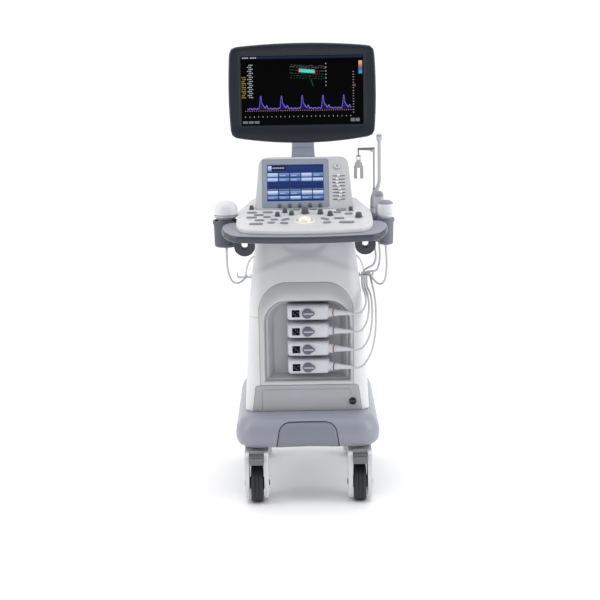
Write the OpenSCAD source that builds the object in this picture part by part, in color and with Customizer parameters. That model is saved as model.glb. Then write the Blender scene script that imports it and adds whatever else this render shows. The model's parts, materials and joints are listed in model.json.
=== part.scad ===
// Cart-mounted diagnostic ultrasound scanner.
// Millimetres, +Z up, the operator stands on the -Y side.
// The origin lies on the floor below the middle of the cart.

/* [Casters] */
// Outer diameter of a caster tyre
wheel_d = 125; // [100:5:150]
// Width of a tyre's tread
tyre_w = 40; // [30:1:44]
// Distance from the centre plane to a caster's swivel axis
caster_x = 172; // [150:1:185]
// Swivel axis of the front casters
caster_front_y = -245; // [-260:1:-220]
// Swivel axis of the rear casters
caster_rear_y = 285; // [260:1:300]
// How far each wheel trails its swivel axis
trail = 25; // [20:1:35]
// Thickness of a wheel guard
guard_t = 14; // [8:1:16]
// Diameter of a caster's swivel stem
stem_d = 20; // [16:1:24]
// Diameter of a wheel axle
axle_d = 12; // [10:1:16]

/* [Base] */
// Width over the base cover
base_w = 480; // [440:5:520]
// Height of the base cover's lower edge above the floor
base_z = 192; // [188:1:220]
// Height of the base cover
base_h = 106; // [90:1:120]
// Wall of the base cover
base_wall = 5; // [3:0.5:6]

/* [Body] */
// Body width at its lower edge
body_w = 416; // [380:1:450]
// Body width at the waist
waist_w = 378; // [340:1:400]
// Body width at the neck below the console
neck_w = 332; // [320:1:350]
// Height of the neck above the floor
neck_z = 850; // [830:1:870]
// Wall of every body cover
wall = 4; // [2.5:0.5:5]
// Gap along the seams between covers
seam = 1; // [0.6:0.1:2]
// Width of the arched front seam
arch_w = 312; // [290:1:330]
// Height of the top of the arched front seam
arch_z = 731; // [700:1:760]

/* [Console] */
// Height of the control panel's front edge
console_z = 930; // [900:1:1000]
// Slope of the control panel
console_tilt = 11; // [6:1:14]
// Width over the control panel
panel_w = 440; // [400:1:460]
// Thickness of the control panel
panel_t = 12; // [10:1:16]
// Width over the console tray
tray_w = 536; // [500:1:560]
// Diameter of the trackball
ball_d = 50.8; // [38:0.1:58]
// Width of the touch display's lit area
touch_w = 188; // [150:1:200]
// Height of the touch display's lit area
touch_h = 132; // [100:1:140]

/* [Monitor] */
// Width over the monitor
monitor_w = 496; // [440:1:560]
// Height over the monitor
monitor_h = 334; // [300:1:380]
// Width of the monitor's lit area
screen_w = 410; // [380:1:440]
// Height of the monitor's lit area
screen_h = 231; // [214:1:250]
// Height of the monitor's centre above the floor
monitor_z = 1342; // [1330:1:1400]
// Diameter of the monitor's tilt pin
tilt_pin_d = 10; // [8:1:14]

/* [Probes] */
// Inside diameter of the large probe cup
big_cup_d = 76; // [64:1:80]
// Inside diameter of the front right probe cup
cup_d = 46; // [40:1:50]
// Inside diameter of the slim probe cups
slim_cup_d = 34; // [28:1:38]
// Height of the cups' rims above the floor
cup_z = 944; // [930:1:955]
// Diameter of a probe cable
cable_d = 7; // [5:0.5:8]
// Pitch of the probe connectors
plug_pitch = 61; // [58:1:70]

/* [Hidden] */
$fn = 48;
eps = 0.01;
run = 0.05;                 // radial clearance of a turning fit
slip = 0.4;                 // clearance round a sliding or seated piece

// ---- casters ----
wheel_r = wheel_d / 2;
axle_y = -trail;
hub_w = tyre_w + 9;
guard_in = hub_w / 2 + 0.5;
crown_z = wheel_d + 11;
fork_top = 180;
pedal_y = axle_y - 37;
pedal_z = 164;
pedal_pin_r = 3;
pedal_w = hub_w - 1;

// ---- base ----
lobe_x = base_w / 2 - 62;
lobe_front_y = -262;
lobe_rear_y = 300;
base_top = base_z + base_h;
plate_z = 204;
plate_t = 6;
plate_y0 = -285;
plate_y1 = 325;
socket_d = stem_d + 2 * 12;
socket_z = base_z - 4;
jack_d = 70;
jack_z = 150;

// ---- body: [height, half width, front y, rear y] ----
corner_r = 45;
body_levels = [
    [base_top + 2, body_w / 2, -232, 262],
    [670, waist_w / 2, -226, 250],
    [neck_z, neck_w / 2, -165, 238],
    [962, neck_w / 2 - 16, -122, 228]
];
side_seam_z = 618;
cowl_top = 955;
rear_seam_y = 205;
lower_top_z = 387;
lower_w_top = 342;
lower_w_bottom = 366;
button_x = 152;
button_z = 330;
button_r = 11.5;
bay_w = 290;
bay_z0 = 400;
bay_z1 = 682;
bay_floor_y = -165;
bay_cx = 3;
cage_w = 236;
window_w = 110;
post_x = 126;
post_s = 24;
top_plate_z = 846;

// ---- plugs ----
plug_x0 = -64;
plug_w = 142;
plug_h = 51;
plug_d = 62;
plug_top_z = 631;
plug_y1 = bay_floor_y - 7;
plug_y0 = plug_y1 - plug_d;
lock_x = 4;
lock_shaft_r = 6;
boot_at = [plug_x0 + plug_w + 0.7, plug_y0 + 14.2];
boot_turn = 18;
collar_l = 19;
boot_l = 56;

// ---- console ----
tray_t = 26;
tray_gap = 0.6;
box_n = -70;
box_w = neck_w + 6;
tray_back = 412;
touch_y = -175;
touch_z = console_z + (touch_y + 385) * tan(console_tilt);
touch_tilt = 60;
touch_len = 190;
bezel_x = -28;
bezel_w = 222;
bezel_v0 = 6;
bezel_h = 175;
bezel_t = 4;
tgc_x = 116;
tgc_v0 = 34;
tgc_pitch = 12;
start_x = 112;
start_v = 153;
start_r = 11.5;
ball_t = 105;
ball_n = -10;
// flat keys: [x, distance up the panel, length, width, turn]
keys = [
    [-172, 185, 32, 12, 0], [-149, 160, 32, 12, 0], [-120, 186, 34, 12, 0], [-172, 136, 34, 12, 0],
    [-122, 138, 24, 12, 0], [-146, 108, 32, 12, 0], [-98, 112, 24, 12, 0], [-156, 72, 44, 14, 0],
    [-108, 82, 24, 12, 0], [-62, 112, 30, 13, 35], [-66, 76, 26, 13, -8], [66, 112, 30, 13, -35],
    [72, 76, 26, 13, 8], [122, 198, 34, 12, 0], [108, 176, 26, 12, 0], [145, 160, 26, 12, 0],
    [112, 116, 34, 12, 0], [136, 76, 50, 16, 0], [-26, 208, 22, 10, 0], [30, 208, 22, 10, 0]
];
// small knobs: [x, distance up the panel, radius, height]
knobs = [
    [-174, 224, 7, 12], [-88, 150, 8, 13], [-64, 186, 8, 13], [-42, 160, 8, 13],
    [52, 166, 9, 14], [84, 148, 9, 14], [153, 196, 7, 12], [176, 128, 11, 15]
];
gain_knob = [2, 174, 12, 17];

// ---- monitor ----
monitor_y = -25;
corner = 34;
crown_rise = 24;
side_rise = 8;
shell_depth = 44;
swivel_y = 84;
post_top = 1120;
stem_r = 16;
pivot_y = 62;
arm_w = 46;

// ---- probe cups ----
cup_wall = 3;
cup_depth = 88;
cup_seat = 5;
// [x, y, inside diameter] for the endocavity, linear, convex and volume probes
cup_places = [[233, -90, slim_cup_d], [249, -148, slim_cup_d], [267, -212, cup_d], [-258, -205, big_cup_d]];
pole_x = 238;
pole_y = -38;
pole_r = 2.5;
pole_top = 1160;
endo_top = 1210;
clip_x = 186;
clip_z = 1130;
clip_pin_r = 1.5;

// ---- probe cables: hand-laid points, from plug boot to probe ----
hook_floor = 740.4;
// The turn that a cable makes round the side hook, at distance x from the centre plane
function hook_turn(x) = [[x, -150, 700], [x, -118, 701], [x, -100, 708], [x, -93, 722], [x, -99, 737],
    [x, -112, 744.5], [x, -129, 745]];
boot_end = [150.7, -243.3];
// The straight start out of the boot at height z
function boot_start(z) = [[boot_end[0], boot_end[1], z], [160, -246.3, z], [168, -248.6, z]];
route_1 = concat(boot_start(631), [[184, -251, 638], [196, -247, 658], [198, -238, 680], [196, -220, 694],
    [193, -185, 700]], hook_turn(192), [[193, -141, 747], [200, -149, 761], [214, -151, 769], [229, -143, 777],
    [238, -125, 797], [237, -104, 822], [233, -92, 836], [233, -90, 846.5]]);
route_2 = concat(boot_start(570), [[185, -252, 578], [201, -250, 606], [208, -244, 645], [207, -232, 676],
    [204, -212, 692], [201, -182, 699]], hook_turn(200), [[201.2, -142, 748], [209, -153, 755], [222, -161, 757],
    [237, -162, 760], [247, -156, 778], [250, -150, 808], [249, -148, 832], [249, -148, 846.5]]);
route_3 = concat(boot_start(509), [[187, -253, 518], [207, -253, 552], [217, -249, 600], [219, -241, 645],
    [217, -226, 678], [213, -204, 694], [209, -178, 700]], hook_turn(208), [[209, -142, 746], [214, -158, 748],
    [226, -178, 734], [244, -198, 720], [260, -209, 730], [268, -213, 766], [269, -213, 804], [267, -212, 832],
    [267, -212, 846.5]]);
route_4 = concat(boot_start(448), [[188, -254, 458], [212, -256, 496], [226, -253, 550], [231, -246, 605],
    [231, -234, 655], [227, -215, 692], [222, -190, 716], [218, -165, 735], [216.6, -145, 744], [216.6, -129, 745],
    [216.4, -110, 744], [214, -70, 732], [209, 60, 710], [207, 130, 714], [203, 190, 728], [192, 238, 741],
    [176, 262, 745.5], [150, 270, 745.5], [120, 271, 742], [0, 274, 718], [-120, 271, 742], [-150, 270, 745.5],
    [-176, 262, 745.5], [-192, 238, 741], [-203, 190, 728], [-207, 130, 714], [-208, 60, 710], [-203, -70, 732],
    [-199, -110, 744], [-198, -129, 745], [-199, -148, 743], [-208, -172, 735], [-224, -194, 730],
    [-241, -204, 738], [-253, -206, 764], [-258, -205, 800], [-258, -205, 846.5]]);
cable_sides = 8;

// ---- helpers ----
function lerp(a, b, u) = a + (b - a) * u;
function unit(v) = v / norm(v);
function pt(p, i) = p[max(0, min(len(p) - 1, i))];
function spline(a, b, c, d, u) =
    0.5 * (2 * b + (c - a) * u + (2 * a - 5 * b + 4 * c - d) * u * u + (3 * b - a - 3 * c + d) * u * u * u);
function smooth_path(p, steps) = [
    for (i = [0:len(p) - 2]) for (s = [0:steps - 1])
        spline(pt(p, i - 1), p[i], p[i + 1], pt(p, i + 2), s / steps),
    p[len(p) - 1]
];
function side_of(d) = abs(d[2]) > 0.85 ? unit(cross(d, [1, 0, 0])) : unit(cross(d, [0, 0, 1]));
// Side directions carried along the path so that neighbouring rings don't twist
function carried(p, i, old) =
    i >= len(p) ? [] :
    let (d = unit(pt(p, i + 1) - pt(p, i - 1)), s = unit(old - d * (old * d)))
    concat([s], carried(p, i + 1, s));

module sweep(p, d, sides) {
    first = side_of(unit(p[1] - p[0]));
    s = carried(p, 0, first);
    n = len(p);
    pts = [for (i = [0:n - 1])
        let (t = unit(pt(p, i + 1) - pt(p, i - 1)), b = cross(t, s[i]))
        for (k = [0:sides - 1]) p[i] + d / 2 * (s[i] * cos(360 * k / sides) + b * sin(360 * k / sides))];
    walls = [for (i = [0:n - 2]) for (k = [0:sides - 1])
        let (a = i * sides + k, c = i * sides + (k + 1) % sides) [a, a + sides, c + sides, c]];
    polyhedron(pts, concat(walls, [[for (k = [0:sides - 1]) k]],
        [[for (k = [sides - 1:-1:0]) (n - 1) * sides + k]]));
}

module on_panel() { translate([0, -385, console_z]) rotate([console_tilt, 0, 0]) children(); }
module on_touch() { translate([0, touch_y, touch_z]) rotate([touch_tilt, 0, 0]) children(); }
module along_x(x0, x1, r) { translate([x0, 0, 0]) rotate([0, 90, 0]) cylinder(r = r, h = x1 - x0); }
module block(x, y, z) { translate([x[0], y[0], z[0]]) cube([x[1] - x[0], y[1] - y[0], z[1] - z[0]]); }
module rounded(w, h, r) { offset(r) square([w - 2 * r, h - 2 * r], center = true); }
module slot2d(l, w) { hull() for (s = [-1, 1]) translate([s * (l - w) / 2, 0]) circle(d = w, $fn = 24); }
// A flat outline in XZ given depth along Y
module upright(y0, y1) { translate([0, y1, 0]) rotate([90, 0, 0]) linear_extrude(y1 - y0) children(); }
// A flat outline in YZ given length along X
module sideways(x0, x1) { translate([x0, 0, 0]) rotate([90, 0, 90]) linear_extrude(x1 - x0) children(); }

// ---- casters ----
function caster_at(k) = [k[0] == "l" ? -caster_x : caster_x, k[1] == "f" ? caster_front_y : caster_rear_y, 0];

module caster_fork(side, end) {
    color("gainsboro") translate(caster_at([side, end])) {
        translate([0, 0, crown_z + 4]) cylinder(d = stem_d, h = plate_z + plate_t + 12 - crown_z);
        block([-guard_in - eps, guard_in + eps], [axle_y - 25, axle_y + 52], [crown_z, fork_top]);
        for (near = [guard_in, -guard_in - guard_t]) sideways(near, near + guard_t)
            hull() {
                translate([axle_y, wheel_r + 2]) circle(r = wheel_r - 8, $fn = 64);
                translate([axle_y - 40, fork_top - 14]) circle(r = 14);
                translate([axle_y + 44, fork_top - 14]) circle(r = 14);
            }
        translate([0, axle_y, wheel_r]) along_x(-guard_in - 1, guard_in + 1, axle_d / 2);
        if (end == "f") translate([0, pedal_y, pedal_z]) along_x(-guard_in - 1, guard_in + 1, pedal_pin_r);
    }
}

module wheel(side, end) {
    tread_r = wheel_r - 14.6;
    color("dimgray") translate(caster_at([side, end])) translate([0, axle_y, wheel_r]) rotate([0, 90, 0])
        rotate_extrude($fn = 64) polygon([
            [axle_d / 2 + run, -hub_w / 2], [20, -hub_w / 2], [22, -8], [tread_r - 6, -8],
            [tread_r - 4, -tyre_w / 2 + 3], [tread_r, -tyre_w / 2 + 3], [tread_r, tyre_w / 2 - 3],
            [tread_r - 4, tyre_w / 2 - 3], [tread_r - 6, 8], [22, 8], [20, hub_w / 2], [axle_d / 2 + run, hub_w / 2]]);
}

module tyre(side, end) {
    r0 = wheel_r - 14.5;
    color("black") translate(caster_at([side, end])) translate([0, axle_y, wheel_r]) rotate([0, 90, 0])
        rotate_extrude($fn = 96) difference() {
            union() {
                translate([r0, -tyre_w / 2 + 2]) square([wheel_r - r0 - 8, tyre_w - 4]);
                translate([wheel_r - 10, 0]) scale([0.5, 1]) circle(r = tyre_w / 2, $fn = 64);
            }
            translate([0, -tyre_w]) square([r0, 2 * tyre_w]);
        }
}

module brake_pedal(side) {
    color("gray") translate(caster_at([side, "f"])) translate([0, pedal_y, pedal_z]) difference() {
        sideways(-pedal_w / 2, pedal_w / 2) hull() {
            circle(r = 8.5);
            translate([-30, -4]) circle(r = 6);
            translate([-34, -16]) circle(r = 4);
            translate([-8, -12]) circle(r = 4);
        }
        along_x(-pedal_w, pedal_w, pedal_pin_r + run);
    }
}

// ---- base ----
module base_solid(d) {
    hull() {
        for (s = [-1, 1]) {
            for (y = [lobe_front_y, lobe_rear_y]) translate([s * lobe_x, y, base_z + 48])
                scale([62 + d, 68 + d, 50 + d]) sphere(r = 1, $fn = 32);
            for (y = [-190, 230]) translate([s * (lobe_x - 14), y, base_top - 20])
                cylinder(r = 42 + d, h = 20 + d, $fn = 32);
        }
    }
}

module base_cover() {
    color("slategray") difference() {
        base_solid(0);
        base_solid(-base_wall);
        translate([0, 0, base_z - 50]) cube([2 * base_w, 1000, 100], center = true);
        block([-post_x - post_s, post_x + post_s], [-190, 215], [base_top - 30, base_top + 9]);
        block([-caster_x - socket_d / 2 - 3, caster_x + socket_d / 2 + 3],
            [caster_front_y - socket_d / 2 - 3, caster_rear_y + socket_d / 2 + 3], [base_z - 5, base_z + 8]);
    }
}

module kick_panel() {
    color("slategray") intersection() {
        difference() {
            base_solid(6);
            base_solid(seam + 0.2);
        }
        upright(-400, -200) polygon([[-104, base_z + 3], [104, base_z + 3], [104, base_z + 24],
            [94, base_z + 62], [76, base_z + 84], [-76, base_z + 84], [-94, base_z + 62], [-104, base_z + 24]]);
    }
}

module chassis_frame() {
    color("silver") {
        difference() {
            union() {
                block([-caster_x - 24, caster_x + 24], [plate_y0, plate_y1], [plate_z, plate_z + plate_t]);
                for (s = [-1, 1]) for (y = [caster_front_y, caster_rear_y])
                    translate([s * caster_x, y, socket_z])
                        cylinder(d = socket_d, h = plate_z + plate_t + 14 - socket_z);
                translate([0, 20, jack_z]) cylinder(d = jack_d, h = plate_z + 1 - jack_z);
            }
            for (s = [-1, 1]) for (y = [caster_front_y, caster_rear_y])
                translate([s * caster_x, y, socket_z - 1]) cylinder(r = stem_d / 2 + run, h = 60);
        }
        for (s = [-1, 1]) for (y = [-52, 168]) translate([s * (post_x + post_s / 2), y, 0]) difference() {
            block([-post_s / 2, post_s / 2], [0, post_s], [plate_z + 2, top_plate_z + 1]);
            block([-post_s / 2 + 2, post_s / 2 - 2], [2, post_s - 2], [plate_z + 8, top_plate_z + 8]);
        }
        block([-post_x - post_s, post_x + post_s], [-52, 192], [top_plate_z, top_plate_z + 6]);
        // Brackets that carry the console
        intersection() {
            for (s = [-1, 1]) block([s * 90 - 20, s * 90 + 20], [-52, 0], [top_plate_z + 2, 990]);
            on_panel() translate([-300, -200, box_n - 200]) cube([600, 900, 200 - seam]);
        }
    }
}

// ---- body covers ----
module body_solid(d) {
    hull() for (l = body_levels) for (s = [-1, 1]) for (e = [-1, 1])
        translate([s * (l[1] - corner_r), e < 0 ? l[2] + corner_r : l[3] - corner_r, l[0]])
            cylinder(r = corner_r + d, h = 0.1, $fn = 32);
}

module arch_outline(d) {
    w = arch_w / 2 + d;
    r = 92;
    hull() {
        translate([-w, lower_top_z - d]) square([2 * w, 10]);
        for (s = [-1, 1]) translate([s * (w - r), arch_z + d - r]) circle(r = r, $fn = 64);
    }
}

module lower_outline(d) {
    a = lower_w_bottom / 2 + d;
    b = lower_w_top / 2 + d;
    polygon([[-a, body_levels[0][0] - 5], [a, body_levels[0][0] - 5], [b, lower_top_z + d - 12],
        [b - 12, lower_top_z + d], [-b + 12, lower_top_z + d], [-b, lower_top_z + d - 12]]);
}

module cover_shell() {
    difference() {
        body_solid(0);
        body_solid(-wall);
    }
}

module upper_cowl() {
    post_gap = 4;
    color("whitesmoke") difference() {
        union() {
            intersection() {
                cover_shell();
                block([-400, 400], [-400, rear_seam_y - seam], [side_seam_z + seam, cowl_top]);
            }
            intersection() {
                body_solid(-wall / 2);
                block([-400, 400], [28, rear_seam_y - seam], [cowl_top - wall, cowl_top]);
            }
            intersection() {
                body_solid(-wall / 2);
                block([-400, 400], [28, 28 + wall], [880, cowl_top]);
            }
        }
        upright(-400, -80) arch_outline(seam / 2);
        on_panel() translate([-400, -300, box_n - seam]) cube([800, 300 + tray_back + 4, 300]);
        block([-48 - post_gap, 48 + post_gap], [swivel_y - 38 - post_gap, swivel_y + 38 + post_gap],
            [900, 1000]);
    }
}

module side_cover(s) {
    color("whitesmoke") difference() {
        intersection() {
            cover_shell();
            block(s < 0 ? [-400, -100] : [100, 400], [-400, rear_seam_y - seam],
                [body_levels[0][0] - 1, side_seam_z]);
        }
        upright(-400, -80) arch_outline(seam / 2);
        upright(-400, -120) lower_outline(seam / 2);
    }
}
module left_cover() { side_cover(-1); }
module right_cover() { side_cover(1); }

module rear_cover() {
    color("whitesmoke") difference() {
        intersection() {
            cover_shell();
            block([-400, 400], [rear_seam_y, 400], [body_levels[0][0] - 1, cowl_top]);
        }
        block([-74, 74], [200, 400], [324, 426]);
        for (i = [0:11]) block([-90, 90], [200, 400], [500 + i * 16, 506 + i * 16]);
    }
}

module lower_cover() {
    color("darkgray") difference() {
        intersection() {
            cover_shell();
            upright(-400, -120) lower_outline(-seam / 2);
        }
        translate([button_x, 0, button_z]) rotate([90, 0, 0]) cylinder(r = button_r + slip, h = 400);
    }
}

module connector_bay() {
    color("lightslategray") difference() {
        union() {
            intersection() {
                cover_shell();
                upright(-400, -120) difference() {
                    arch_outline(-seam / 2);
                    translate([-400, lower_top_z - 60]) square([800, 60 + seam / 2]);
                }
            }
            intersection() {
                body_solid(-wall / 2);
                upright(-400, -100) arch_outline(-seam / 2);
                difference() {
                    block([bay_cx - bay_w / 2 - wall, bay_cx + bay_w / 2 + wall], [-260, bay_floor_y + wall],
                        [bay_z0 - wall, bay_z1 + wall]);
                    block([bay_cx - bay_w / 2, bay_cx + bay_w / 2], [-300, bay_floor_y], [bay_z0, bay_z1]);
                }
            }
        }
        translate([bay_cx, -260, (bay_z0 + bay_z1) / 2]) cube([bay_w, 2 * (260 + bay_floor_y), bay_z1 - bay_z0],
            center = true);
        block([plug_x0 + 12, plug_x0 + 12 + window_w], [-200, -100],
            [plug_top_z - 3 * plug_pitch - 24, plug_top_z + 24]);
    }
}

module power_button() {
    color("black") translate([button_x, 0, button_z]) rotate([90, 0, 0]) translate([0, 0, 222])
        cylinder(r = button_r, h = 14);
}

// ---- internals ----
cage_y0 = -150;
cage_y1 = 96;
cage_z0 = 450;
cage_z1 = 720;
fan_z = 585;
module card_cage() {
    color("silver") {
        difference() {
            block([-cage_w / 2, cage_w / 2], [cage_y0, cage_y1], [cage_z0, cage_z1]);
            block([-cage_w / 2 + 2, cage_w / 2 - 2], [cage_y0 + 2, cage_y1 - 2], [cage_z0 - 5, cage_z1 - 2]);
        }
        // Receptacle board and its four sockets, reaching through the bay's window
        block([plug_x0 + 20, plug_x0 + 20 + 90], [cage_y0 - 1, cage_y0 + 1],
            [plug_top_z - 3 * plug_pitch - 20, plug_top_z + 20]);
        for (i = [0:3]) block([plug_x0 + 24, plug_x0 + 24 + 84], [plug_y1 + 0.3, cage_y0],
            [plug_top_z - i * plug_pitch - 18, plug_top_z - i * plug_pitch + 18]);
        // Circuit boards
        for (i = [-3:3]) block([i * 30 - 0.8, i * 30 + 0.8], [cage_y0 + 1.5, cage_y1 - 1.5],
            [cage_z0 + 5, cage_z1 - 1]);
        // Fan stator and pin
        translate([0, cage_y1 + 29, fan_z]) rotate([90, 0, 0]) cylinder(r = 4, h = 30);
    }
}

module fan_rotor() {
    color("dimgray") translate([0, cage_y1 + 26, fan_z]) rotate([90, 0, 0]) difference() {
        union() {
            cylinder(r = 20, h = 20);
            for (i = [0:6]) rotate([0, 0, i * 360 / 7]) translate([38, 0, 10]) rotate([35, 0, 0])
                cube([44, 2.5, 16], center = true);
        }
        translate([0, 0, -1]) cylinder(r = 4 + run, h = 30);
    }
}

inlet_x = -34;
inlet_z = 375;
stud_x = 48;
stud_r = 3;
stud_l = 14;
psu_rear = 266;
module power_supply() {
    color("silver") {
        difference() {
            block([-68, 68], [112, psu_rear], [330, 420]);
            block([inlet_x - 12, inlet_x + 12], [psu_rear - 18, psu_rear + 1], [inlet_z - 8, inlet_z + 8]);
        }
        for (i = [-1:1]) block([inlet_x + i * 7 - 1, inlet_x + i * 7 + 1], [psu_rear - 19, psu_rear - 8],
            [inlet_z - 2.5, inlet_z + 2.5]);
        translate([stud_x, psu_rear - 1, inlet_z]) rotate([-90, 0, 0]) cylinder(r = stud_r, h = stud_l + 1);
        block([-68, 68], [112, 190], [plate_z + plate_t + seam, 331]);
    }
}

// ---- plugs ----
module plug(z) {
    difference() {
        union() {
            hull() for (a = [0, 1]) for (s = [-1, 1]) {
                translate([plug_x0 + 10 + a * (plug_w - 20), plug_y1 - 1, z + s * (plug_h / 2 - 6)])
                    rotate([90, 0, 0]) cylinder(r = 6, h = plug_d - 8, $fn = 24);
                translate([plug_x0 + 14 + a * (plug_w - 28), plug_y1 - 1, z + s * (plug_h / 2 - 10)])
                    rotate([90, 0, 0]) cylinder(r = 6, h = plug_d - 1, $fn = 24);
            }
            translate([boot_at[0], boot_at[1], z]) rotate([0, 0, -boot_turn]) {
                along_x(-8, collar_l, 15);
                translate([collar_l, 0, 0]) rotate([0, 90, 0])
                    cylinder(r1 = 11, r2 = cable_d / 2 + 1.5, h = boot_l);
            }
        }
        translate([lock_x, plug_y0 - 1, z]) rotate([-90, 0, 0]) cylinder(r = lock_shaft_r + run, h = 25);
    }
}
module probe_plugs() { color("whitesmoke") for (i = [0:3]) plug(plug_top_z - i * plug_pitch); }

module plug_lock(i) {
    color("slategray") translate([lock_x, plug_y0 - 0.4, plug_top_z - i * plug_pitch]) rotate([90, 0, 0]) {
        translate([0, 0, -20]) cylinder(r = lock_shaft_r, h = 21);
        linear_extrude(9) hull() {
            circle(r = 16);
            translate([20, 0]) circle(r = 4, $fn = 24);
        }
    }
}

module cable(route, steps) { color("gainsboro") sweep(smooth_path(route, steps), cable_d, cable_sides); }

// ---- console ----
module panel_outline(d) {
    w = panel_w / 2;
    offset(delta = d) offset(r = 16) offset(r = -16) polygon(concat(
        [for (i = [-8:8]) [i * (w - 34) / 8, 16 * pow(abs(i) / 8, 2.5)]],
        [[w - 12, 34], [w, 70], [w, 140], [w - 4, 206], [w - 34, 288], [w - 46, 330], [-w + 46, 330],
            [-w + 34, 288], [-w + 4, 206], [-w, 140], [-w, 70], [-w + 12, 34]]));
}

module tray_outline(d) {
    w = tray_w / 2;
    offset(delta = d) offset(r = 20) offset(r = -20) polygon(concat(
        [for (i = [-8:8]) [i * (w - 52) / 8, -20 + 14 * pow(abs(i) / 8, 2)]],
        [[w - 26, 10], [w - 8, 40], [w, 76], [w - 2, 112], [w - 20, 132], [212, 138], [202, 180], [198, 300],
            [180, 340], [-180, 340], [-198, 300], [-202, 180], [-212, 138], [-w + 20, 132], [-w + 2, 112],
            [-w, 76], [-w + 8, 40], [-w + 26, 10]]));
}

module key_shapes(d, z0, z1) {
    for (k = keys) translate([k[0], k[1], z0]) rotate([0, 0, k[4]]) linear_extrude(z1 - z0)
        slot2d(k[2] + 2 * d, k[3] + 2 * d);
}

module control_panel() {
    color("whitesmoke") on_panel() difference() {
        translate([0, 0, -panel_t]) linear_extrude(panel_t) panel_outline(0);
        translate([0, ball_t, -panel_t - 1]) cylinder(r = ball_d / 2 + slip, h = panel_t + 2);
        key_shapes(slip, -7, 1);
        for (k = knobs) translate([k[0], k[1], -7]) cylinder(r = 3.4, h = 8);
        translate([gain_knob[0], gain_knob[1], -7]) cylinder(r = 4 + run, h = 8);
    }
}

module console_tray() {
    top = -panel_t - tray_gap;
    color("lightslategray") on_panel() difference() {
        union() {
            translate([0, 0, top - tray_t]) linear_extrude(tray_t) tray_outline(0);
            translate([-box_w / 2, 190, box_n]) cube([box_w, tray_back - 190, top - 2 - box_n]);
        }
        translate([0, ball_t, ball_n - ball_d / 2 - 1]) cylinder(r = ball_d / 2 + 1, h = 40);
        translate([-box_w / 2 + 5, 195, box_n + 5])
            cube([box_w - 10, tray_back - 200, -box_n - panel_t - tray_gap - 9]);
    }
}

module trackball() {
    color("ivory") on_panel() translate([0, ball_t, ball_n]) sphere(d = ball_d, $fn = 64);
}

module key_caps() {
    color("darkgray") on_panel() key_shapes(0, -4.6, 3);
}

module encoder(x, y, r, h, shaft) {
    translate([x, y, 0.5]) cylinder(r1 = r, r2 = r - 1, h = h);
    translate([x, y, -6.5]) cylinder(r = shaft, h = 8);
}

module encoders() {
    color("dimgray") {
        on_panel() for (k = knobs) encoder(k[0], k[1], k[2], k[3], 3);
        on_touch() for (i = [0:4]) translate([-81 + i * 33.5, 12, 0]) {
            translate([0, 0, 0.5]) cylinder(r1 = 6.5, r2 = 5.5, h = 12);
            translate([0, 0, -3.5]) cylinder(r = 3, h = 5);
        }
    }
}

module gain_dial() {
    color("dimgray") on_panel() encoder(gain_knob[0], gain_knob[1], gain_knob[2], gain_knob[3], 4);
}

// ---- touch unit ----
module touch_outline(d) {
    hull() {
        for (s = [-1, 1]) {
            translate([s * (163 - 8), 8]) circle(r = 8 + d);
            translate([s * (148 - 33), touch_len - 33]) circle(r = 33 + d);
        }
    }
}

module touch_solid(d) {
    hull() {
        on_touch() translate([0, 0, -14]) linear_extrude(14 + d) touch_outline(d);
        on_touch() translate([0, 0, -40 - d]) linear_extrude(10) intersection() {
            touch_outline(d - 8);
            translate([-300, 60]) square([600, 300]);
        }
        on_panel() translate([-148 - d, 330, 2]) cube([296 + 2 * d, 60 + d, 3]);
    }
}

module touch_housing() {
    color("whitesmoke") difference() {
        touch_solid(0);
        touch_solid(-wall);
        on_panel() translate([-400, -100, -200]) cube([800, 900, 200 + 1.2]);
        on_touch() {
            translate([bezel_x, bezel_v0 + bezel_h / 2, -bezel_t - slip]) linear_extrude(30)
                rounded(bezel_w + 2 * slip, bezel_h + 2 * slip, 6);
            for (i = [0:7]) translate([tgc_x, tgc_v0 + i * tgc_pitch, -20]) linear_extrude(40) slot2d(42, 3.4);
            translate([start_x, start_v, -20]) cylinder(r = start_r + slip, h = 40);
        }
    }
}

module touch_display() {
    color("slategray") on_touch() difference() {
        union() {
            translate([bezel_x, bezel_v0 + bezel_h / 2, -bezel_t]) linear_extrude(bezel_t)
                rounded(bezel_w, bezel_h, 6);
            translate([bezel_x, 96, -12]) cube([touch_w, touch_h, 18], center = true);
        }
        translate([bezel_x, 96, 10 - 1.2]) cube([touch_w, touch_h, 20], center = true);
        for (i = [0:4]) translate([-81 + i * 33.5, 12, -10]) cylinder(r = 3.4, h = 20);
    }
}

module tgc_sliders() {
    color("white") on_touch() for (i = [0:7]) translate([tgc_x + 6 * sin(i * 51), tgc_v0 + i * tgc_pitch, 0]) {
        translate([0, 0, 4]) cube([9, 6, 7], center = true);
        translate([0, 0, -2]) cube([4, 2.2, 10], center = true);
    }
}

module start_button() {
    color("silver") on_touch() translate([start_x, start_v, -8]) cylinder(r = start_r, h = 12);
}

// ---- monitor ----
function arc_r(half, rise) = (half * half + rise * rise) / (2 * rise);
// Barrel outline: a shallow arc along each side and round corners
module monitor_outline(d) {
    w = monitor_w / 2;
    h = monitor_h / 2;
    rw = arc_r(w, crown_rise);
    rh = arc_r(h, side_rise);
    offset(corner + d) offset(-corner) intersection() {
        translate([0, h - rw]) circle(r = rw, $fn = 480);
        translate([0, rw - h]) circle(r = rw, $fn = 480);
        translate([w - rh, 0]) circle(r = rh, $fn = 480);
        translate([rh - w, 0]) circle(r = rh, $fn = 480);
    }
}

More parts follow.
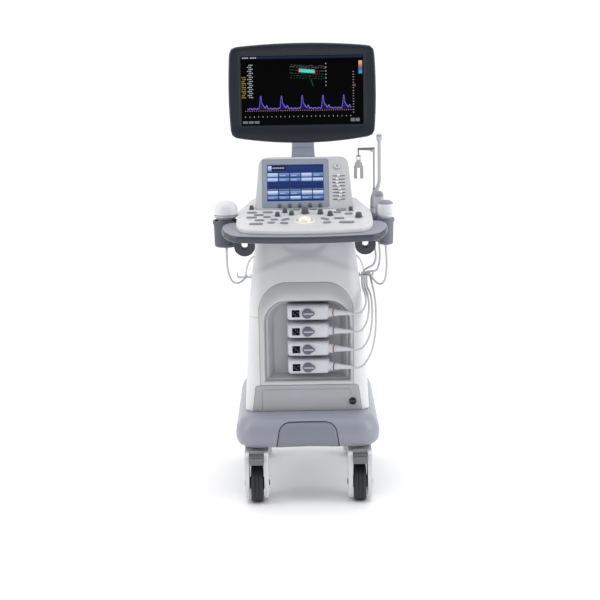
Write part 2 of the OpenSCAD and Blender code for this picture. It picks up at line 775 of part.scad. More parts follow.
module monitor_back() {
    y0 = monitor_y + 12;
    color("slategray") translate([0, 0, monitor_z]) difference() {
        union() {
            upright(y0, y0 + 18) monitor_outline(0);
            hull() {
                upright(y0 + 17, y0 + 18) monitor_outline(-2);
                translate([0, y0 + shell_depth, 0]) rotate([90, 0, 0]) linear_extrude(1) rounded(280, 180, 30);
            }
            for (s = [-1, 1]) sideways(s * 34 - 7, s * 34 + 7) hull() {
                translate([pivot_y, 0]) circle(r = 13);
                translate([y0 + 30, 0]) square([2, 40], center = true);
            }
        }
        hull() {
            upright(y0 - 5, y0 + 14) monitor_outline(-4);
            translate([0, y0 + shell_depth - 4, 0]) rotate([90, 0, 0]) linear_extrude(1) rounded(262, 162, 24);
        }
        translate([0, pivot_y, 0]) along_x(-60, 60, tilt_pin_d / 2 + run);
    }
}

module monitor_bezel() {
    color("darkslategray") translate([0, 0, monitor_z]) difference() {
        upright(monitor_y, monitor_y + 11.5) monitor_outline(-3.5);
        upright(monitor_y - 1, monitor_y + 20) translate([0, 10]) square([screen_w, screen_h], center = true);
        upright(monitor_y + 4, monitor_y + 20) translate([0, 10])
            square([screen_w + 21, screen_h + 21], center = true);
    }
}

module monitor_panel() {
    color("black") translate([0, 0, monitor_z + 10])
        upright(monitor_y + 4.5, monitor_y + 18) square([screen_w + 18, screen_h + 18], center = true);
}

module monitor_yoke() {
    color("slategray") {
        translate([0, swivel_y, post_top - 60]) cylinder(r = stem_r, h = 62);
        difference() {
            hull() {
                translate([-40, swivel_y - 22, post_top + 0.5]) cube([80, 44, 2]);
                translate([-34, swivel_y - 12, 1250]) cube([68, 22, 2]);
            }
            block([-60, 60], [0, 68], [1150, 1400]);
        }
        sideways(-arm_w / 2, arm_w / 2) hull() {
            translate([pivot_y, monitor_z]) circle(r = 13);
            translate([swivel_y, 1285]) circle(r = 10);
        }
        sideways(-arm_w / 2, arm_w / 2) hull() {
            translate([swivel_y, 1285]) circle(r = 10);
            translate([swivel_y - 1, 1249]) circle(r = 10);
        }
        translate([0, pivot_y, monitor_z]) along_x(-44, 44, tilt_pin_d / 2);
    }
}

module monitor_post() {
    color("slategray") difference() {
        hull() {
            translate([-48, swivel_y - 38, top_plate_z + 6 + seam]) cube([96, 76, 2]);
            translate([-42, swivel_y - 28, post_top - 2]) cube([84, 52, 2]);
        }
        translate([0, swivel_y, post_top - 62]) cylinder(r = stem_r + run, h = 70);
    }
}

// ---- probe cups, hanger and hooks ----
module cup(c) {
    r = c[2] / 2;
    translate([c[0], c[1], cup_z - cup_depth]) difference() {
        union() {
            cylinder(r1 = r + cup_wall - 3, r2 = r + cup_wall, h = cup_depth);
            translate([0, 0, cup_depth - 12]) cylinder(r = r + cup_wall + 2.5, h = 12);
        }
        translate([0, 0, cup_seat]) cylinder(r1 = r - 3, r2 = r, h = cup_depth);
        translate([0, 0, -1]) cylinder(r = 12, h = 20);
    }
}

module probe_cups() {
    color("dimgray") {
        for (c = cup_places) cup(c);
        arm_z = [cup_z - 46, cup_z - 36];
        difference() {
            union() {
                block([-230, -206], [-225, -185], arm_z);
                block([208, 262], [-214, -24], arm_z);
                translate([pole_x, pole_y, cup_z - 50]) cylinder(r = 6, h = 122);
            }
            for (c = cup_places) translate([c[0], c[1], cup_z - 60]) cylinder(r = c[2] / 2 + 1, h = 80);
            translate([pole_x, pole_y, cup_z + 12]) cylinder(r = pole_r + run, h = 100);
        }
    }
}

// A hand probe: round nose, waisted handle and strain relief, standing on its cable end
module probe_body(c, r, neck_r, head, top) {
    translate([c[0], c[1], 0]) rotate_extrude() polygon([
        [0, 847], [4.5, 847], [6, 862], [neck_r, 872], [neck_r, cup_z - 8], [r - 2, cup_z + 6],
        [r, cup_z + 14], [r, head], [r * 0.94, lerp(head, top, 0.35)], [r * 0.75, lerp(head, top, 0.7)],
        [r * 0.42, lerp(head, top, 0.93)], [0, top]]);
}

// Endocavity probe: a slim handle, a bent neck, a long shaft and a round tip
module probe_1() {
    c = cup_places[0];
    bend = [[c[0], c[1], cup_z + 10], [c[0], c[1], cup_z + 54], [c[0] + 16, c[1] - 6, cup_z + 92],
        [c[0] + 20, c[1] - 8, cup_z + 110]];
    color("whitesmoke") {
        translate([c[0], c[1], 0]) rotate_extrude() polygon([[0, 847], [4.5, 847], [6, 862], [13, 874],
            [14, cup_z], [11.5, cup_z + 12], [0, cup_z + 12]]);
        hull() {
            translate(bend[0]) cylinder(r = 11, h = 2, $fn = 24);
            translate(bend[1]) sphere(r = 10, $fn = 24);
        }
        hull() {
            translate(bend[1]) sphere(r = 10, $fn = 24);
            translate(bend[2]) sphere(r = 7, $fn = 24);
        }
        hull() {
            translate(bend[2]) sphere(r = 7, $fn = 24);
            translate(bend[3]) sphere(r = 6, $fn = 24);
        }
        translate(bend[3]) cylinder(r = 6, h = endo_top - 14 - bend[3][2]);
        translate([bend[3][0], bend[3][1], endo_top - 14]) rotate_extrude() intersection() {
            scale([1, 1.4]) circle(r = 10);
            translate([0, -20]) square([20, 40]);
        }
    }
}

module probe_2() { color("gainsboro") probe_body(cup_places[1], 15, 12, cup_z + 60, 1025); }

module probe_3() { color("whitesmoke") probe_body(cup_places[2], 27, 18, cup_z + 30, 1003); }

module probe_4() { color("lightgray") probe_body(cup_places[3], 40, 24, cup_z + 24, 1008); }

module hanger_pole() {
    color("dimgray") {
        translate([pole_x, pole_y, cup_z + 14]) cylinder(r = pole_r, h = pole_top - cup_z - 14);
        translate([pole_x, pole_y, cup_z + 72.5]) cylinder(r = 5, h = 4);
        translate([0, pole_y, pole_top - 6]) along_x(clip_x - 3, pole_x, 4);
        translate([clip_x, pole_y, clip_z - 3]) cylinder(r = 2.5, h = pole_top - 6 - clip_z + 3);
        translate([0, pole_y, clip_z]) along_x(clip_x - 8, clip_x + 8, clip_pin_r);
    }
}

// A two-lobed clip with a slot between its prongs, hung by two ears
module hanger_clip() {
    color("lightgray") difference() {
        union() {
            for (s = [-1, 1]) translate([s * 5.5, 0, 0]) sideways(clip_x - 1.5, clip_x + 1.5) hull() {
                translate([pole_y, clip_z]) circle(r = 4);
                translate([pole_y - 4, clip_z - 16]) square([8, 4]);
            }
            upright(pole_y - 3, pole_y + 3) translate([clip_x, clip_z]) {
                translate([-7, -22]) square([14, 10]);
                hull() for (s = [-1, 1]) translate([s * 5, -27]) circle(r = 8);
                translate([-16, -76]) square([32, 44]);
            }
        }
        translate([0, pole_y, clip_z]) along_x(clip_x - 20, clip_x + 20, clip_pin_r + run);
        block([clip_x - 5, clip_x + 5], [pole_y - 9, pole_y + 9], [clip_z - 90, clip_z - 40]);
    }
}

// Half the body's width at height z
function body_half(z) = let (l = body_levels)
    z < l[1][0] ? lerp(l[0][1], l[1][1], (z - l[0][0]) / (l[1][0] - l[0][0])) :
    lerp(l[1][1], l[2][1], (z - l[1][0]) / (l[2][0] - l[1][0]));
function body_rear(z) = let (l = body_levels) lerp(l[1][3], l[2][3], (z - l[1][0]) / (l[2][0] - l[1][0]));

// Cradle that stands off a side wall; its floor is at z = 0
module side_cradle() {
    upright(-140, -118) polygon([[0, -5], [44, -5], [49, -1], [49, 14], [45, 14], [45, 3], [41, 0], [3, 0],
        [3, 9], [0, 9]]);
}

// U-shaped hook below the console tray: one arm goes up to the tray, the other ends in a tip
module tray_hook() {
    upright(-12, 12) difference() {
        union() {
            translate([-34, -42]) square([24, 42]);
            translate([0, -42]) circle(r = 34, $fn = 64);
        }
        translate([0, -42]) circle(r = 10);
        translate([-10, -42]) square([20, 60]);
        translate([9, -30]) square([30, 60]);
    }
}

module cable_hooks() {
    rear_y = body_rear(hook_floor - 5) + 0.6;
    color("darkslategray") {
        for (s = [0, 1]) mirror([s, 0, 0]) {
            translate([body_half(hook_floor - 5) + 0.6, 0, hook_floor]) side_cradle();
            on_panel() translate([196, 96, -panel_t - tray_gap - tray_t - 0.5]) tray_hook();
            translate([150, 0, hook_floor]) {
                block([-14, 14], [rear_y, rear_y + 40], [-5, 0]);
                block([-14, 14], [rear_y + 37, rear_y + 40], [-5, 13]);
            }
        }
    }
}

module rear_handle() {
    r = 14;
    x = 128;
    z = 925;
    color("lightslategray") {
        for (s = [-1, 1]) translate([s * x, 236, z]) rotate([-90, 0, 0]) cylinder(r = r, h = 400 - r - 236);
        for (s = [-1, 1]) translate([s * x, 400 - r, z]) sphere(r = r);
        translate([0, 400 - r, z]) along_x(-x, x, r);
    }
}

chassis_frame();
base_cover();
kick_panel();
caster_fork("l", "f");  // caster_fork_fl
caster_fork("r", "f");  // caster_fork_fr
caster_fork("l", "r");  // caster_fork_rl
caster_fork("r", "r");  // caster_fork_rr
wheel("l", "f");  // wheel_fl
wheel("r", "f");  // wheel_fr
wheel("l", "r");  // wheel_rl
wheel("r", "r");  // wheel_rr
tyre("l", "f");  // tyre_fl
tyre("r", "f");  // tyre_fr
tyre("l", "r");  // tyre_rl
tyre("r", "r");  // tyre_rr
brake_pedal("l");  // brake_pedal_fl
brake_pedal("r");  // brake_pedal_fr
upper_cowl();
left_cover();
right_cover();
rear_cover();
lower_cover();
connector_bay();
card_cage();
power_supply();
power_button();
fan_rotor();
probe_plugs();
plug_lock(0);  // plug_lock_1
plug_lock(1);  // plug_lock_2
plug_lock(2);  // plug_lock_3
plug_lock(3);  // plug_lock_4
cable(route_1, 2);  // cable_1
cable(route_2, 2);  // cable_2
cable(route_3, 2);  // cable_3
cable(route_4, 1);  // cable_4
console_tray();
control_panel();
touch_housing();
touch_display();
trackball();
key_caps();
encoders();
gain_dial();
tgc_sliders();
start_button();
monitor_post();
monitor_yoke();
monitor_back();
monitor_bezel();
monitor_panel();
probe_cups();
probe_1();
probe_2();
probe_3();
probe_4();
hanger_pole();
hanger_clip();
cable_hooks();
rear_handle();
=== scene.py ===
import json
import math

import bmesh
import bpy
from mathutils import Matrix, Vector

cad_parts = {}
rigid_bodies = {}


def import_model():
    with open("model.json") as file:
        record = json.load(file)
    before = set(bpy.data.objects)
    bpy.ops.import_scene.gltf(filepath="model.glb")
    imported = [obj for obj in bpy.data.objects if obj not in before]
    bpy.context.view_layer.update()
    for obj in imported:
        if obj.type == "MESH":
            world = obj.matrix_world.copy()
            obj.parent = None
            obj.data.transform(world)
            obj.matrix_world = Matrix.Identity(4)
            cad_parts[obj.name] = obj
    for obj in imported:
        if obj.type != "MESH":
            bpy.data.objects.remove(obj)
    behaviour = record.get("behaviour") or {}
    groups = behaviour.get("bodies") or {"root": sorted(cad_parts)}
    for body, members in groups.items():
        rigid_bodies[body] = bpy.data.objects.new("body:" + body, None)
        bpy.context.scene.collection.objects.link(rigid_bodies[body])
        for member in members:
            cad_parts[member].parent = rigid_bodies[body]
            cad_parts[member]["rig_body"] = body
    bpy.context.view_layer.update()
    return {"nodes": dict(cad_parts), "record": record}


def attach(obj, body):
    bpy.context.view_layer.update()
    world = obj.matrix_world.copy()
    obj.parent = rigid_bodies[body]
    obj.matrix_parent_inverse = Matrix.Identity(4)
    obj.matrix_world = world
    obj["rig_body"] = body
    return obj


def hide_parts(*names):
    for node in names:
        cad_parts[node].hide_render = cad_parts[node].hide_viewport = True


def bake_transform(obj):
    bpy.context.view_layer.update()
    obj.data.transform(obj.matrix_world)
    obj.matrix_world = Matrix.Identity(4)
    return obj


bl_info = {
    "name": "Ultrasound scanner looks",
    "version": (1, 0, 0),
    "blender": (4, 5, 0),
    "location": "3D View > Sidebar > Scanner",
    "description": "Builds the visible shells, controls, probes and cables of a cart-mounted scanner",
    "category": "Object",
}

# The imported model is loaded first, because the pieces and the panel's defaults come from it.
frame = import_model()
NODES = frame["nodes"]
BODY_OF = {n: o["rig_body"] for n, o in NODES.items()}
SLOT_OF = {s["node"]: s["material_slot"] for s in frame["record"]["subparts"]}
MM = 0.001

# ---- sizes shared by several pieces, in millimetres ----
PANEL_FRONT_Y = -385
PANEL_FRONT_Z = 930
PANEL_TILT = math.radians(11)
TOUCH_Y = -175
TOUCH_Z = PANEL_FRONT_Z + (TOUCH_Y - PANEL_FRONT_Y) * math.tan(PANEL_TILT)
TOUCH_TILT = math.radians(60)
ON_PANEL = Matrix.Translation((0, PANEL_FRONT_Y, PANEL_FRONT_Z)) @ Matrix.Rotation(PANEL_TILT, 4, "X")
ON_TOUCH = Matrix.Translation((0, TOUCH_Y, TOUCH_Z)) @ Matrix.Rotation(TOUCH_TILT, 4, "X")
PANEL_T = 12
TRAY_T = 26
TRAY_TOP = -PANEL_T - 0.6
WALL = 4
SEAM = 1
BODY_CORNER = 45
# Height, half width, front and rear of the body
BODY_LEVELS = [(300, 208, -232, 262), (670, 189, -226, 250), (850, 166, -165, 238), (962, 150, -122, 228)]
BASE_Z = 192
PLUG_X = (-64, 78)
PLUG_Y = (-234, -173)
PLUG_H = 51
PLUG_Z = [631 - 61 * i for i in range(4)]
LOCK_X = 4
BOOT_AT = (78.7, -219.8)
BOOT_TURN = math.radians(-18)
WHEEL_R = 62.5
CASTER_X = 172
CASTER_Y = {"f": -245, "r": 285}
TRAIL = 25
# The touch unit's front: its length up the slope, then middle and size of its bezel and of its lit area
TOUCH_LEN = 190
BEZEL = (-28, 93.5, 222, 175)
LIT = (-28, 96, 188, 132)
START = (112, 153)
START_BORE_R = 11.9
# The first gain slider's middle, and the distance between two
SLIDER = (116, 34)
SLIDER_PITCH = 12
SLIDER_COUNT = 8
MONITOR = (496, 334)
MONITOR_Z = 1342
MONITOR_Y = -25
SCREEN = (410, 231)
# The lit area sits this far above the monitor's middle
SCREEN_UP = 10
CABLE_D = 7
# Each cup's middle and inner width; the first three are on the right
CUPS = [(233, -90, 34), (249, -148, 34), (267, -212, 46), (-258, -205, 76)]
CUP_Z = 944
CUP_DEPTH = 88
POLE = (238, -38)


# ---- colour and material helpers ----
def linear(code):
    """An sRGB hex colour as linear red, green and blue."""
    parts = [int(code[i : i + 2], 16) / 255 for i in (1, 3, 5)]
    return tuple(c / 12.92 if c <= 0.04045 else ((c + 0.055) / 1.055) ** 2.4 for c in parts)


def add(tree, kind, inputs=None, **settings):
    """Adds a node; inputs that are sockets are linked, and the rest are set."""
    made = tree.nodes.new(kind)
    for key, value in settings.items():
        setattr(made, key, value)
    for key, value in (inputs or {}).items():
        socket = made.inputs[key]
        if isinstance(value, bpy.types.NodeSocket):
            tree.links.new(value, socket)
        else:
            socket.default_value = value
    return made


def new_material(name):
    made = bpy.data.materials.new(name)
    made.use_nodes = True
    tree = made.node_tree
    tree.nodes.clear()
    return made, tree


def shades(colour, spread):
    """A darker and a lighter shade of one colour, as RGBA."""
    return [tuple(min(1.0, c * k) for c in colour) + (1.0,) for k in (1 - spread, 1 + spread)]


def close_surface(tree, **inputs):
    shader = add(tree, "ShaderNodeBsdfPrincipled", {k.replace("_", " "): v for k, v in inputs.items()})
    add(tree, "ShaderNodeOutputMaterial", {"Surface": shader.outputs["BSDF"]})
    return shader


def moulded(name, colour, roughness, grain_mm=1.2, grain_depth=0.00004, spread=0.035, coat=0.0, metallic=0.0,
    reflect=0.5):
    """Moulded or painted surface: fine spark texture, faint shade drift and handling marks in the gloss."""
    made, tree = new_material(name)
    at = add(tree, "ShaderNodeTexCoord").outputs["Object"]
    grain = add(tree, "ShaderNodeTexNoise", {"Vector": at, "Scale": 1000 / grain_mm, "Detail": 3.0})
    drift = add(tree, "ShaderNodeTexNoise", {"Vector": at, "Scale": 9.0, "Detail": 4.0, "Roughness": 0.6})
    marks = add(tree, "ShaderNodeTexNoise", {"Vector": at, "Scale": 60.0, "Detail": 5.0, "Distortion": 0.6})
    dark, light = shades(colour, spread)
    tone = add(tree, "ShaderNodeMix", data_type="RGBA")
    tree.links.new(drift.outputs["Fac"], tone.inputs[0])
    tone.inputs[6].default_value = dark
    tone.inputs[7].default_value = light
    gloss = add(tree, "ShaderNodeMapRange", {"Value": marks.outputs["Fac"], "From Min": 0.3, "From Max": 0.7,
        "To Min": roughness - 0.04, "To Max": roughness + 0.06})
    bump = add(tree, "ShaderNodeBump", {"Height": grain.outputs["Fac"], "Strength": 0.5,
        "Distance": grain_depth})
    shader = close_surface(tree, Base_Color=tone.outputs[2], Roughness=gloss.outputs[0],
        Normal=bump.outputs[0])
    shader.inputs["Metallic"].default_value = metallic
    shader.inputs["Specular IOR Level"].default_value = reflect
    shader.inputs["Coat Weight"].default_value = coat
    shader.inputs["Coat Roughness"].default_value = 0.12
    return made


def brushed(name, colour, roughness, along="Z", line_mm=0.6):
    """Brushed or drawn metal: fine lines along one axis that stretch the highlights."""
    made, tree = new_material(name)
    at = add(tree, "ShaderNodeTexCoord").outputs["Object"]
    stretch = [0.04 if axis == along else 1.0 for axis in "XYZ"]
    turned_at = add(tree, "ShaderNodeMapping", {"Vector": at, "Scale": stretch})
    lines = add(tree, "ShaderNodeTexNoise",
        {"Vector": turned_at.outputs[0], "Scale": 1000 / line_mm, "Detail": 4.0})
    gloss = add(tree, "ShaderNodeMapRange", {"Value": lines.outputs["Fac"], "To Min": roughness - 0.1,
        "To Max": roughness + 0.12})
    dark, light = shades(colour, 0.06)
    tone = add(tree, "ShaderNodeMix", data_type="RGBA")
    tree.links.new(lines.outputs["Fac"], tone.inputs[0])
    tone.inputs[6].default_value = dark
    tone.inputs[7].default_value = light
    bump = add(tree, "ShaderNodeBump", {"Height": lines.outputs["Fac"], "Strength": 0.3, "Distance": 0.00003})
    shader = close_surface(tree, Base_Color=tone.outputs[2], Roughness=gloss.outputs[0],
        Normal=bump.outputs[0])
    shader.inputs["Metallic"].default_value = 1.0
    return made


def glowing(name, colour, strength, low=None, row_mm=0.8):
    """Lit part of a display: a glow over dark glass with fine rows, which fades along the piece's UV."""
    made, tree = new_material(name)
    coords = add(tree, "ShaderNodeTexCoord")
    up = add(tree, "ShaderNodeSeparateXYZ", {"Vector": coords.outputs["UV"]})
    rows = add(tree, "ShaderNodeTexWave", {"Vector": coords.outputs["Object"], "Scale": 20 / row_mm,
        "Distortion": 0.0}, bands_direction="Z")
    fade = add(tree, "ShaderNodeMix", {0: up.outputs["Y"]}, data_type="RGBA")
    fade.inputs[6].default_value = tuple(low or colour) + (1.0,)
    fade.inputs[7].default_value = tuple(colour) + (1.0,)
    dim = add(tree, "ShaderNodeMapRange", {"Value": rows.outputs["Fac"], "To Min": 0.82, "To Max": 1.0})
    lit = add(tree, "ShaderNodeVectorMath", {0: fade.outputs[2], "Scale": dim.outputs[0]}, operation="SCALE")
    shader = close_surface(tree, Emission_Color=lit.outputs[0])
    shader.inputs["Base Color"].default_value = (0.004, 0.004, 0.005, 1)
    shader.inputs["Roughness"].default_value = 0.22
    shader.inputs["Specular IOR Level"].default_value = 0.06
    shader.inputs["Emission Strength"].default_value = strength
    return made


FINISHES = {}


def build_finishes(colours):
    """Every material, by the name that the pieces use."""
    c = {key: tuple(getattr(colours, key)) for key in colours.__annotations__}
    FINISHES.update({
        # Sheet-like ABS shells straight from a spark-eroded tool: pale, soft sheen, barely visible grain
        "white_shell": moulded("ABS moulded spark white", c["shell_white"], 0.42, 1.4),
        # The same ABS in grey for the service cover
        "grey_shell": moulded("ABS moulded spark grey", c["shell_grey"], 0.40, 1.4),
        # PC-ABS of the bumper-like base and the console tray: satin with a light clear coat from polishing
        "blue_grey": moulded("PC ABS moulded satin blue grey", c["blue_grey"], 0.36, 1.6, coat=0.15),
        "kick_grey": moulded("PP moulded kick panel", c["kick_grey"], 0.44, 1.8, spread=0.05),
        # Side faces of the tray's rim: the tray's plastic darkened as painted shade, with a dull gloss
        "grip_strip": moulded("PU moulded grip strip", c["grip_strip"], 0.34, 1.6, coat=0.1, reflect=0.4),
        # Silver lacquer over ABS round the connectors and on the start button: a soft metallic sheen
        "silver_lacquer": moulded("ABS lacquered silver", c["bay_silver"], 0.38, 0.9, metallic=0.35,
        coat=0.2),
        "bay_floor": moulded("ABS moulded bay floor grey", c["bay_floor"], 0.5, 1.2),
        # ASA control panel and ABS touch housing: brighter and smoother than the shells
        "panel_white": moulded("ASA moulded panel white", c["panel_white"], 0.36, 1.0, coat=0.1),
        "touch_white": moulded("ABS moulded touch housing grey", c["touch_grey"], 0.4, 1.2),
        # Rubber keys and soft-coated knobs: dull, with an uneven shade from handling
        "key_grey": moulded("Silicone rubber key grey", c["key_grey"], 0.5, 0.8, spread=0.06),
        "knob_dark": moulded("Soft touch coated knob", c["knob_dark"], 0.55, 0.8, spread=0.06),
        # POM slider grips: smooth and faintly waxy, over slots that read as nearly black
        "slider_white": moulded("POM slider white", linear("#F0F0F2"), 0.3, 0.8),
        # The same black marks the grips' index lines and is painted shade in the kick panel's seam and on the
        # monitor's vent slots
        "slot_dark": moulded("ABS unlit slot black", linear("#1B1C1F"), 0.6, 0.8),
        # Lacquered frames and painted castings round the displays: even colour with a soft highlight
        "display_bezel": moulded("ABS lacquered display bezel", c["touch_bezel"], 0.36, 1.0, coat=0.25),
        "monitor_frame": moulded("ABS satin lacquered dark bezel", c["monitor_frame"], 0.34, 1.0, coat=0.05,
        reflect=0.3),
        "monitor_shell": moulded("ABS moulded monitor shell", c["monitor_shell"], 0.38, 1.3),
        "cast_grey": moulded("Aluminium die cast painted grey", c["cast_grey"], 0.38, 1.8, coat=0.15),
        # Coated display glass: almost black, so that only the lit marks show
        "glass_black": moulded("Glass anti glare coated black", linear("#020203"), 0.16, 0.6, 0.00001, 0.1,
        reflect=0.04),
        # PBT and nylon connectors, PVC cables: hard white shells beside softer, duller cable jackets
        "plug_white": moulded("PBT moulded plug white", c["plug_white"], 0.34, 1.0, coat=0.1),
        "lock_grey": moulded("Nylon moulded lock grey", c["lock_grey"], 0.42, 0.8),
        "cable_grey": moulded("PVC extruded cable grey", c["cable_grey"], 0.45, 0.7, spread=0.05),
        # Polished PBT probes with silicone lenses: clean highlights ending at a matt tip
        "probe_white": moulded("PBT moulded probe white", c["probe_white"], 0.32, 1.0, coat=0.15),
        "probe_grey": moulded("PBT moulded probe grey", c["probe_grey"], 0.36, 1.0, coat=0.1),
        "lens_grey": moulded("Silicone acoustic lens grey", linear("#8E9098"), 0.5, 0.7),
        # Dark moulded cups and glass-filled hooks: spark texture that breaks up the highlight
        "cup_dark": moulded("PC ABS moulded cup dark", c["cup_dark"], 0.42, 1.4),
        "cup_grey": moulded("PC ABS moulded cup blue grey", c["cup_grey"], 0.4, 1.4),
        "hook_navy": moulded("PA6 glass filled hook navy", c["hook_navy"], 0.4, 1.6, spread=0.08, coat=0.1),
        "clip_grey": moulded("POM clip grey", linear("#B4B2B6"), 0.36, 0.9),
        # Polyurethane tyres on nylon cores behind PP guards: matt black running parts under pale shells
        "tyre": moulded("Polyurethane tyre black", c["tyre"], 0.6, 1.8, 0.00012, spread=0.15),
        "wheel_core": moulded("PA6 wheel core grey", linear("#3B3D43"), 0.5, 1.4, spread=0.08),
        "caster_shell": moulded("PP moulded caster guard", c["caster_shell"], 0.34, 1.2, coat=0.1),
        "pedal_grey": moulded("PA6 pedal grey", c["pedal_grey"], 0.5, 1.6, spread=0.08),
        # Gloss parts that catch one small highlight each
        "button_black": moulded("ABS gloss black", linear("#101114"), 0.2, 0.8, spread=0.08, coat=0.3),
        "ball_ivory": moulded("Phenolic resin ball polished", c["ball"], 0.14, 2.5, 0.00001, 0.05, coat=0.6),
        # Powder-coated welded frame: coarse orange-peel surface
        "frame_steel": moulded("Steel powder coated", linear("#9A9CA1"), 0.46, 1.6, 0.00008),
        # Coloured PVC rings that mark the connectors
        "band_red": moulded("PVC ring dark red", linear("#7E3A44"), 0.4, 0.8),
        "band_green": moulded("PVC ring grey green", linear("#4E5C5C"), 0.4, 0.8),
        "band_navy": moulded("PVC ring navy", linear("#33384E"), 0.4, 0.8),
        # Folded, grained aluminium of the hidden boxes: dull with fine drawn lines
        "sheet_metal": brushed("Aluminium sheet grained", linear("#B9BBBF"), 0.36, "X"),
        # Drawn rod of the hanger: highlights stretched along it
        "pole_steel": brushed("Stainless steel drawn rod", linear("#7C7D80"), 0.3, "Z"),
        # Lit parts of both displays: flat colours with fine rows, brighter than anything around them
        "lit_blue": glowing("LCD lit blue ground", linear("#223C7E"), 0.9, linear("#1C2F66")),
        "lit_button": glowing("LCD lit pale button", linear("#E8F4FF"), 1.0, linear("#4A86D6")),
        "lit_mid": glowing("LCD lit blue button", linear("#8FB4EA"), 0.9, linear("#2B52A4")),
        "lit_navy": glowing("LCD lit navy bar", linear("#1E2E52"), 0.8, linear("#131E3A")),
        "lit_violet": glowing("LCD lit violet trace", linear("#6E5BE0"), 1.6),
        "lit_violet_dim": glowing("LCD lit violet haze", linear("#2C2370"), 0.7, linear("#141038")),
        "lit_dim": glowing("LCD lit dim box", linear("#8A8E96"), 0.7),
        "lit_white": glowing("LCD lit white marks", linear("#C9CCD2"), 0.9),
        "lit_yellow": glowing("LCD lit yellow marks", linear("#B7A23C"), 0.9),
        "lit_cyan": glowing("LCD lit cyan box", linear("#46D6C4"), 1.1),
        "lit_tissue": glowing("LCD lit grey echo", linear("#6E6E70"), 0.8, linear("#3A3A3C")),
        "lit_red": glowing("LCD lit red marks", linear("#D23B30"), 1.0),
        "lit_green": glowing("LCD lit green echo", linear("#2E6B3A"), 0.9),
        "lit_orange": glowing("LCD lit warm scale", linear("#E8C88A"), 1.0, linear("#C2502A")),
        "lit_scale": glowing("LCD lit cool scale", linear("#2B57C8"), 1.0, linear("#37B6D8")),
    })


# ---- mesh helpers: shapes are made in millimetres ----
def sharp_edges(bm, degrees=32):
    limit = math.radians(degrees)
    return [e for e in bm.edges if len(e.link_faces) == 2 and e.calc_face_angle(0.0) > limit]


def bevel(bm, edges, width, segments=2):
    if edges:
        bmesh.ops.bevel(bm, geom=edges, offset=width, offset_type="OFFSET", segments=segments, profile=0.5,
            affect="EDGES", clamp_overlap=True, material=-1)
    return bm


def weld(bm, distance=0.005):
    bmesh.ops.remove_doubles(bm, verts=bm.verts, dist=distance)
    bmesh.ops.dissolve_degenerate(bm, edges=bm.edges, dist=0.001)
    return bm


def outward(bm):
    bmesh.ops.recalc_face_normals(bm, faces=bm.faces)
    return bm


def join(*parts):
    """Several bmeshes as one; each part's faces keep their material indices."""
    whole = bmesh.new()
    for part in parts:
        held = bpy.data.meshes.new("held")
        part.to_mesh(held)
        part.free()
        whole.from_mesh(held)
        bpy.data.meshes.remove(held)
    return whole


def painted(bm, index):
    for face in bm.faces:
        face.material_index = index
    return bm


def moved(bm, matrix):
    bmesh.ops.transform(bm, matrix=matrix, verts=bm.verts)
    return bm


def placed(bm, matrix, index):
    """A part moved to its place, with all its faces in one material slot."""
    return painted(moved(bm, matrix), index)


def at(x=0, y=0, z=0):
    return Matrix.Translation((x, y, z))


def turn(degrees, axis):
    return Matrix.Rotation(math.radians(degrees), 4, axis)


def cuboid(x, y, z, width=0.0, segments=2):
    """A box between two corners, with its edges rounded."""
    bm = bmesh.new()
    bmesh.ops.create_cube(bm, size=1)
    size = Vector((x[1] - x[0], y[1] - y[0], z[1] - z[0]))
    middle = Vector((x[0] + x[1], y[0] + y[1], z[0] + z[1])) / 2
    moved(bm, Matrix.Translation(middle) @ Matrix.Diagonal((*size, 1)))
    return bevel(bm, bm.edges[:], width, segments) if width else bm


def plate(points, low, high, width=0.0, segments=2, lower_width=0.0):
    """A flat outline in XY given height, with its upper and lower rims rounded."""
    bm = bmesh.new()
    face = bm.faces.new([bm.verts.new((x, y, high)) for x, y in points])
    made = bmesh.ops.extrude_face_region(bm, geom=[face])
    bmesh.ops.translate(bm, vec=(0, 0, low - high),
        verts=[g for g in made["geom"] if isinstance(g, bmesh.types.BMVert)])
    outward(bm)
    if width:
        bevel(bm, [e for e in bm.edges if all(abs(v.co.z - high) < 1e-4 for v in e.verts)], width, segments)
    if lower_width:
        bevel(bm, [e for e in bm.edges if all(abs(v.co.z - low) < 1e-4 for v in e.verts)], lower_width,
            segments)
    return bm


def standing(bm, y):
    """Turns a plate made in XY so that it stands in XZ, its top facing the operator at depth y."""
    return moved(bm, at(0, y, 0) @ turn(90, "X"))


def turned(profile, steps=48):
    """A lathe shape about Z from (radius, height) pairs."""
    bm = bmesh.new()
    verts = [bm.verts.new((r, 0, z)) for r, z in profile]
    edges = [bm.edges.new(pair) for pair in zip(verts, verts[1:])]
    bmesh.ops.spin(bm, geom=verts + edges, axis=(0, 0, 1), cent=(0, 0, 0), angle=2 * math.pi, steps=steps,
        use_merge=True)
    return outward(weld(bm))


def cylinder(r, low, high, steps=48):
    """A plain round bar about Z, mostly used as a cutter."""
    return turned([(0, low), (r, low), (r, high), (0, high), (0, low)], steps)


def sheet(columns, rows, place):
    """A grid whose points are place(u, v), with u and v from 0 to 1."""
    bm = bmesh.new()
    bmesh.ops.create_grid(bm, x_segments=columns, y_segments=rows, size=0.5)
    for v in bm.verts:
        v.co = place(v.co.x + 0.5, v.co.y + 0.5)
    return bm


def rings(outlines, capped=True):
    """A skin through closed outlines that all have the same number of points."""
    count = len(outlines[0])
    bm = sheet(count, len(outlines) - 1,
        lambda u, v: Vector(outlines[round(v * (len(outlines) - 1))][round(u * count) % count]))
    weld(bm)
    if capped:
        bmesh.ops.holes_fill(bm, edges=[e for e in bm.edges if e.is_boundary])
    return outward(bm)


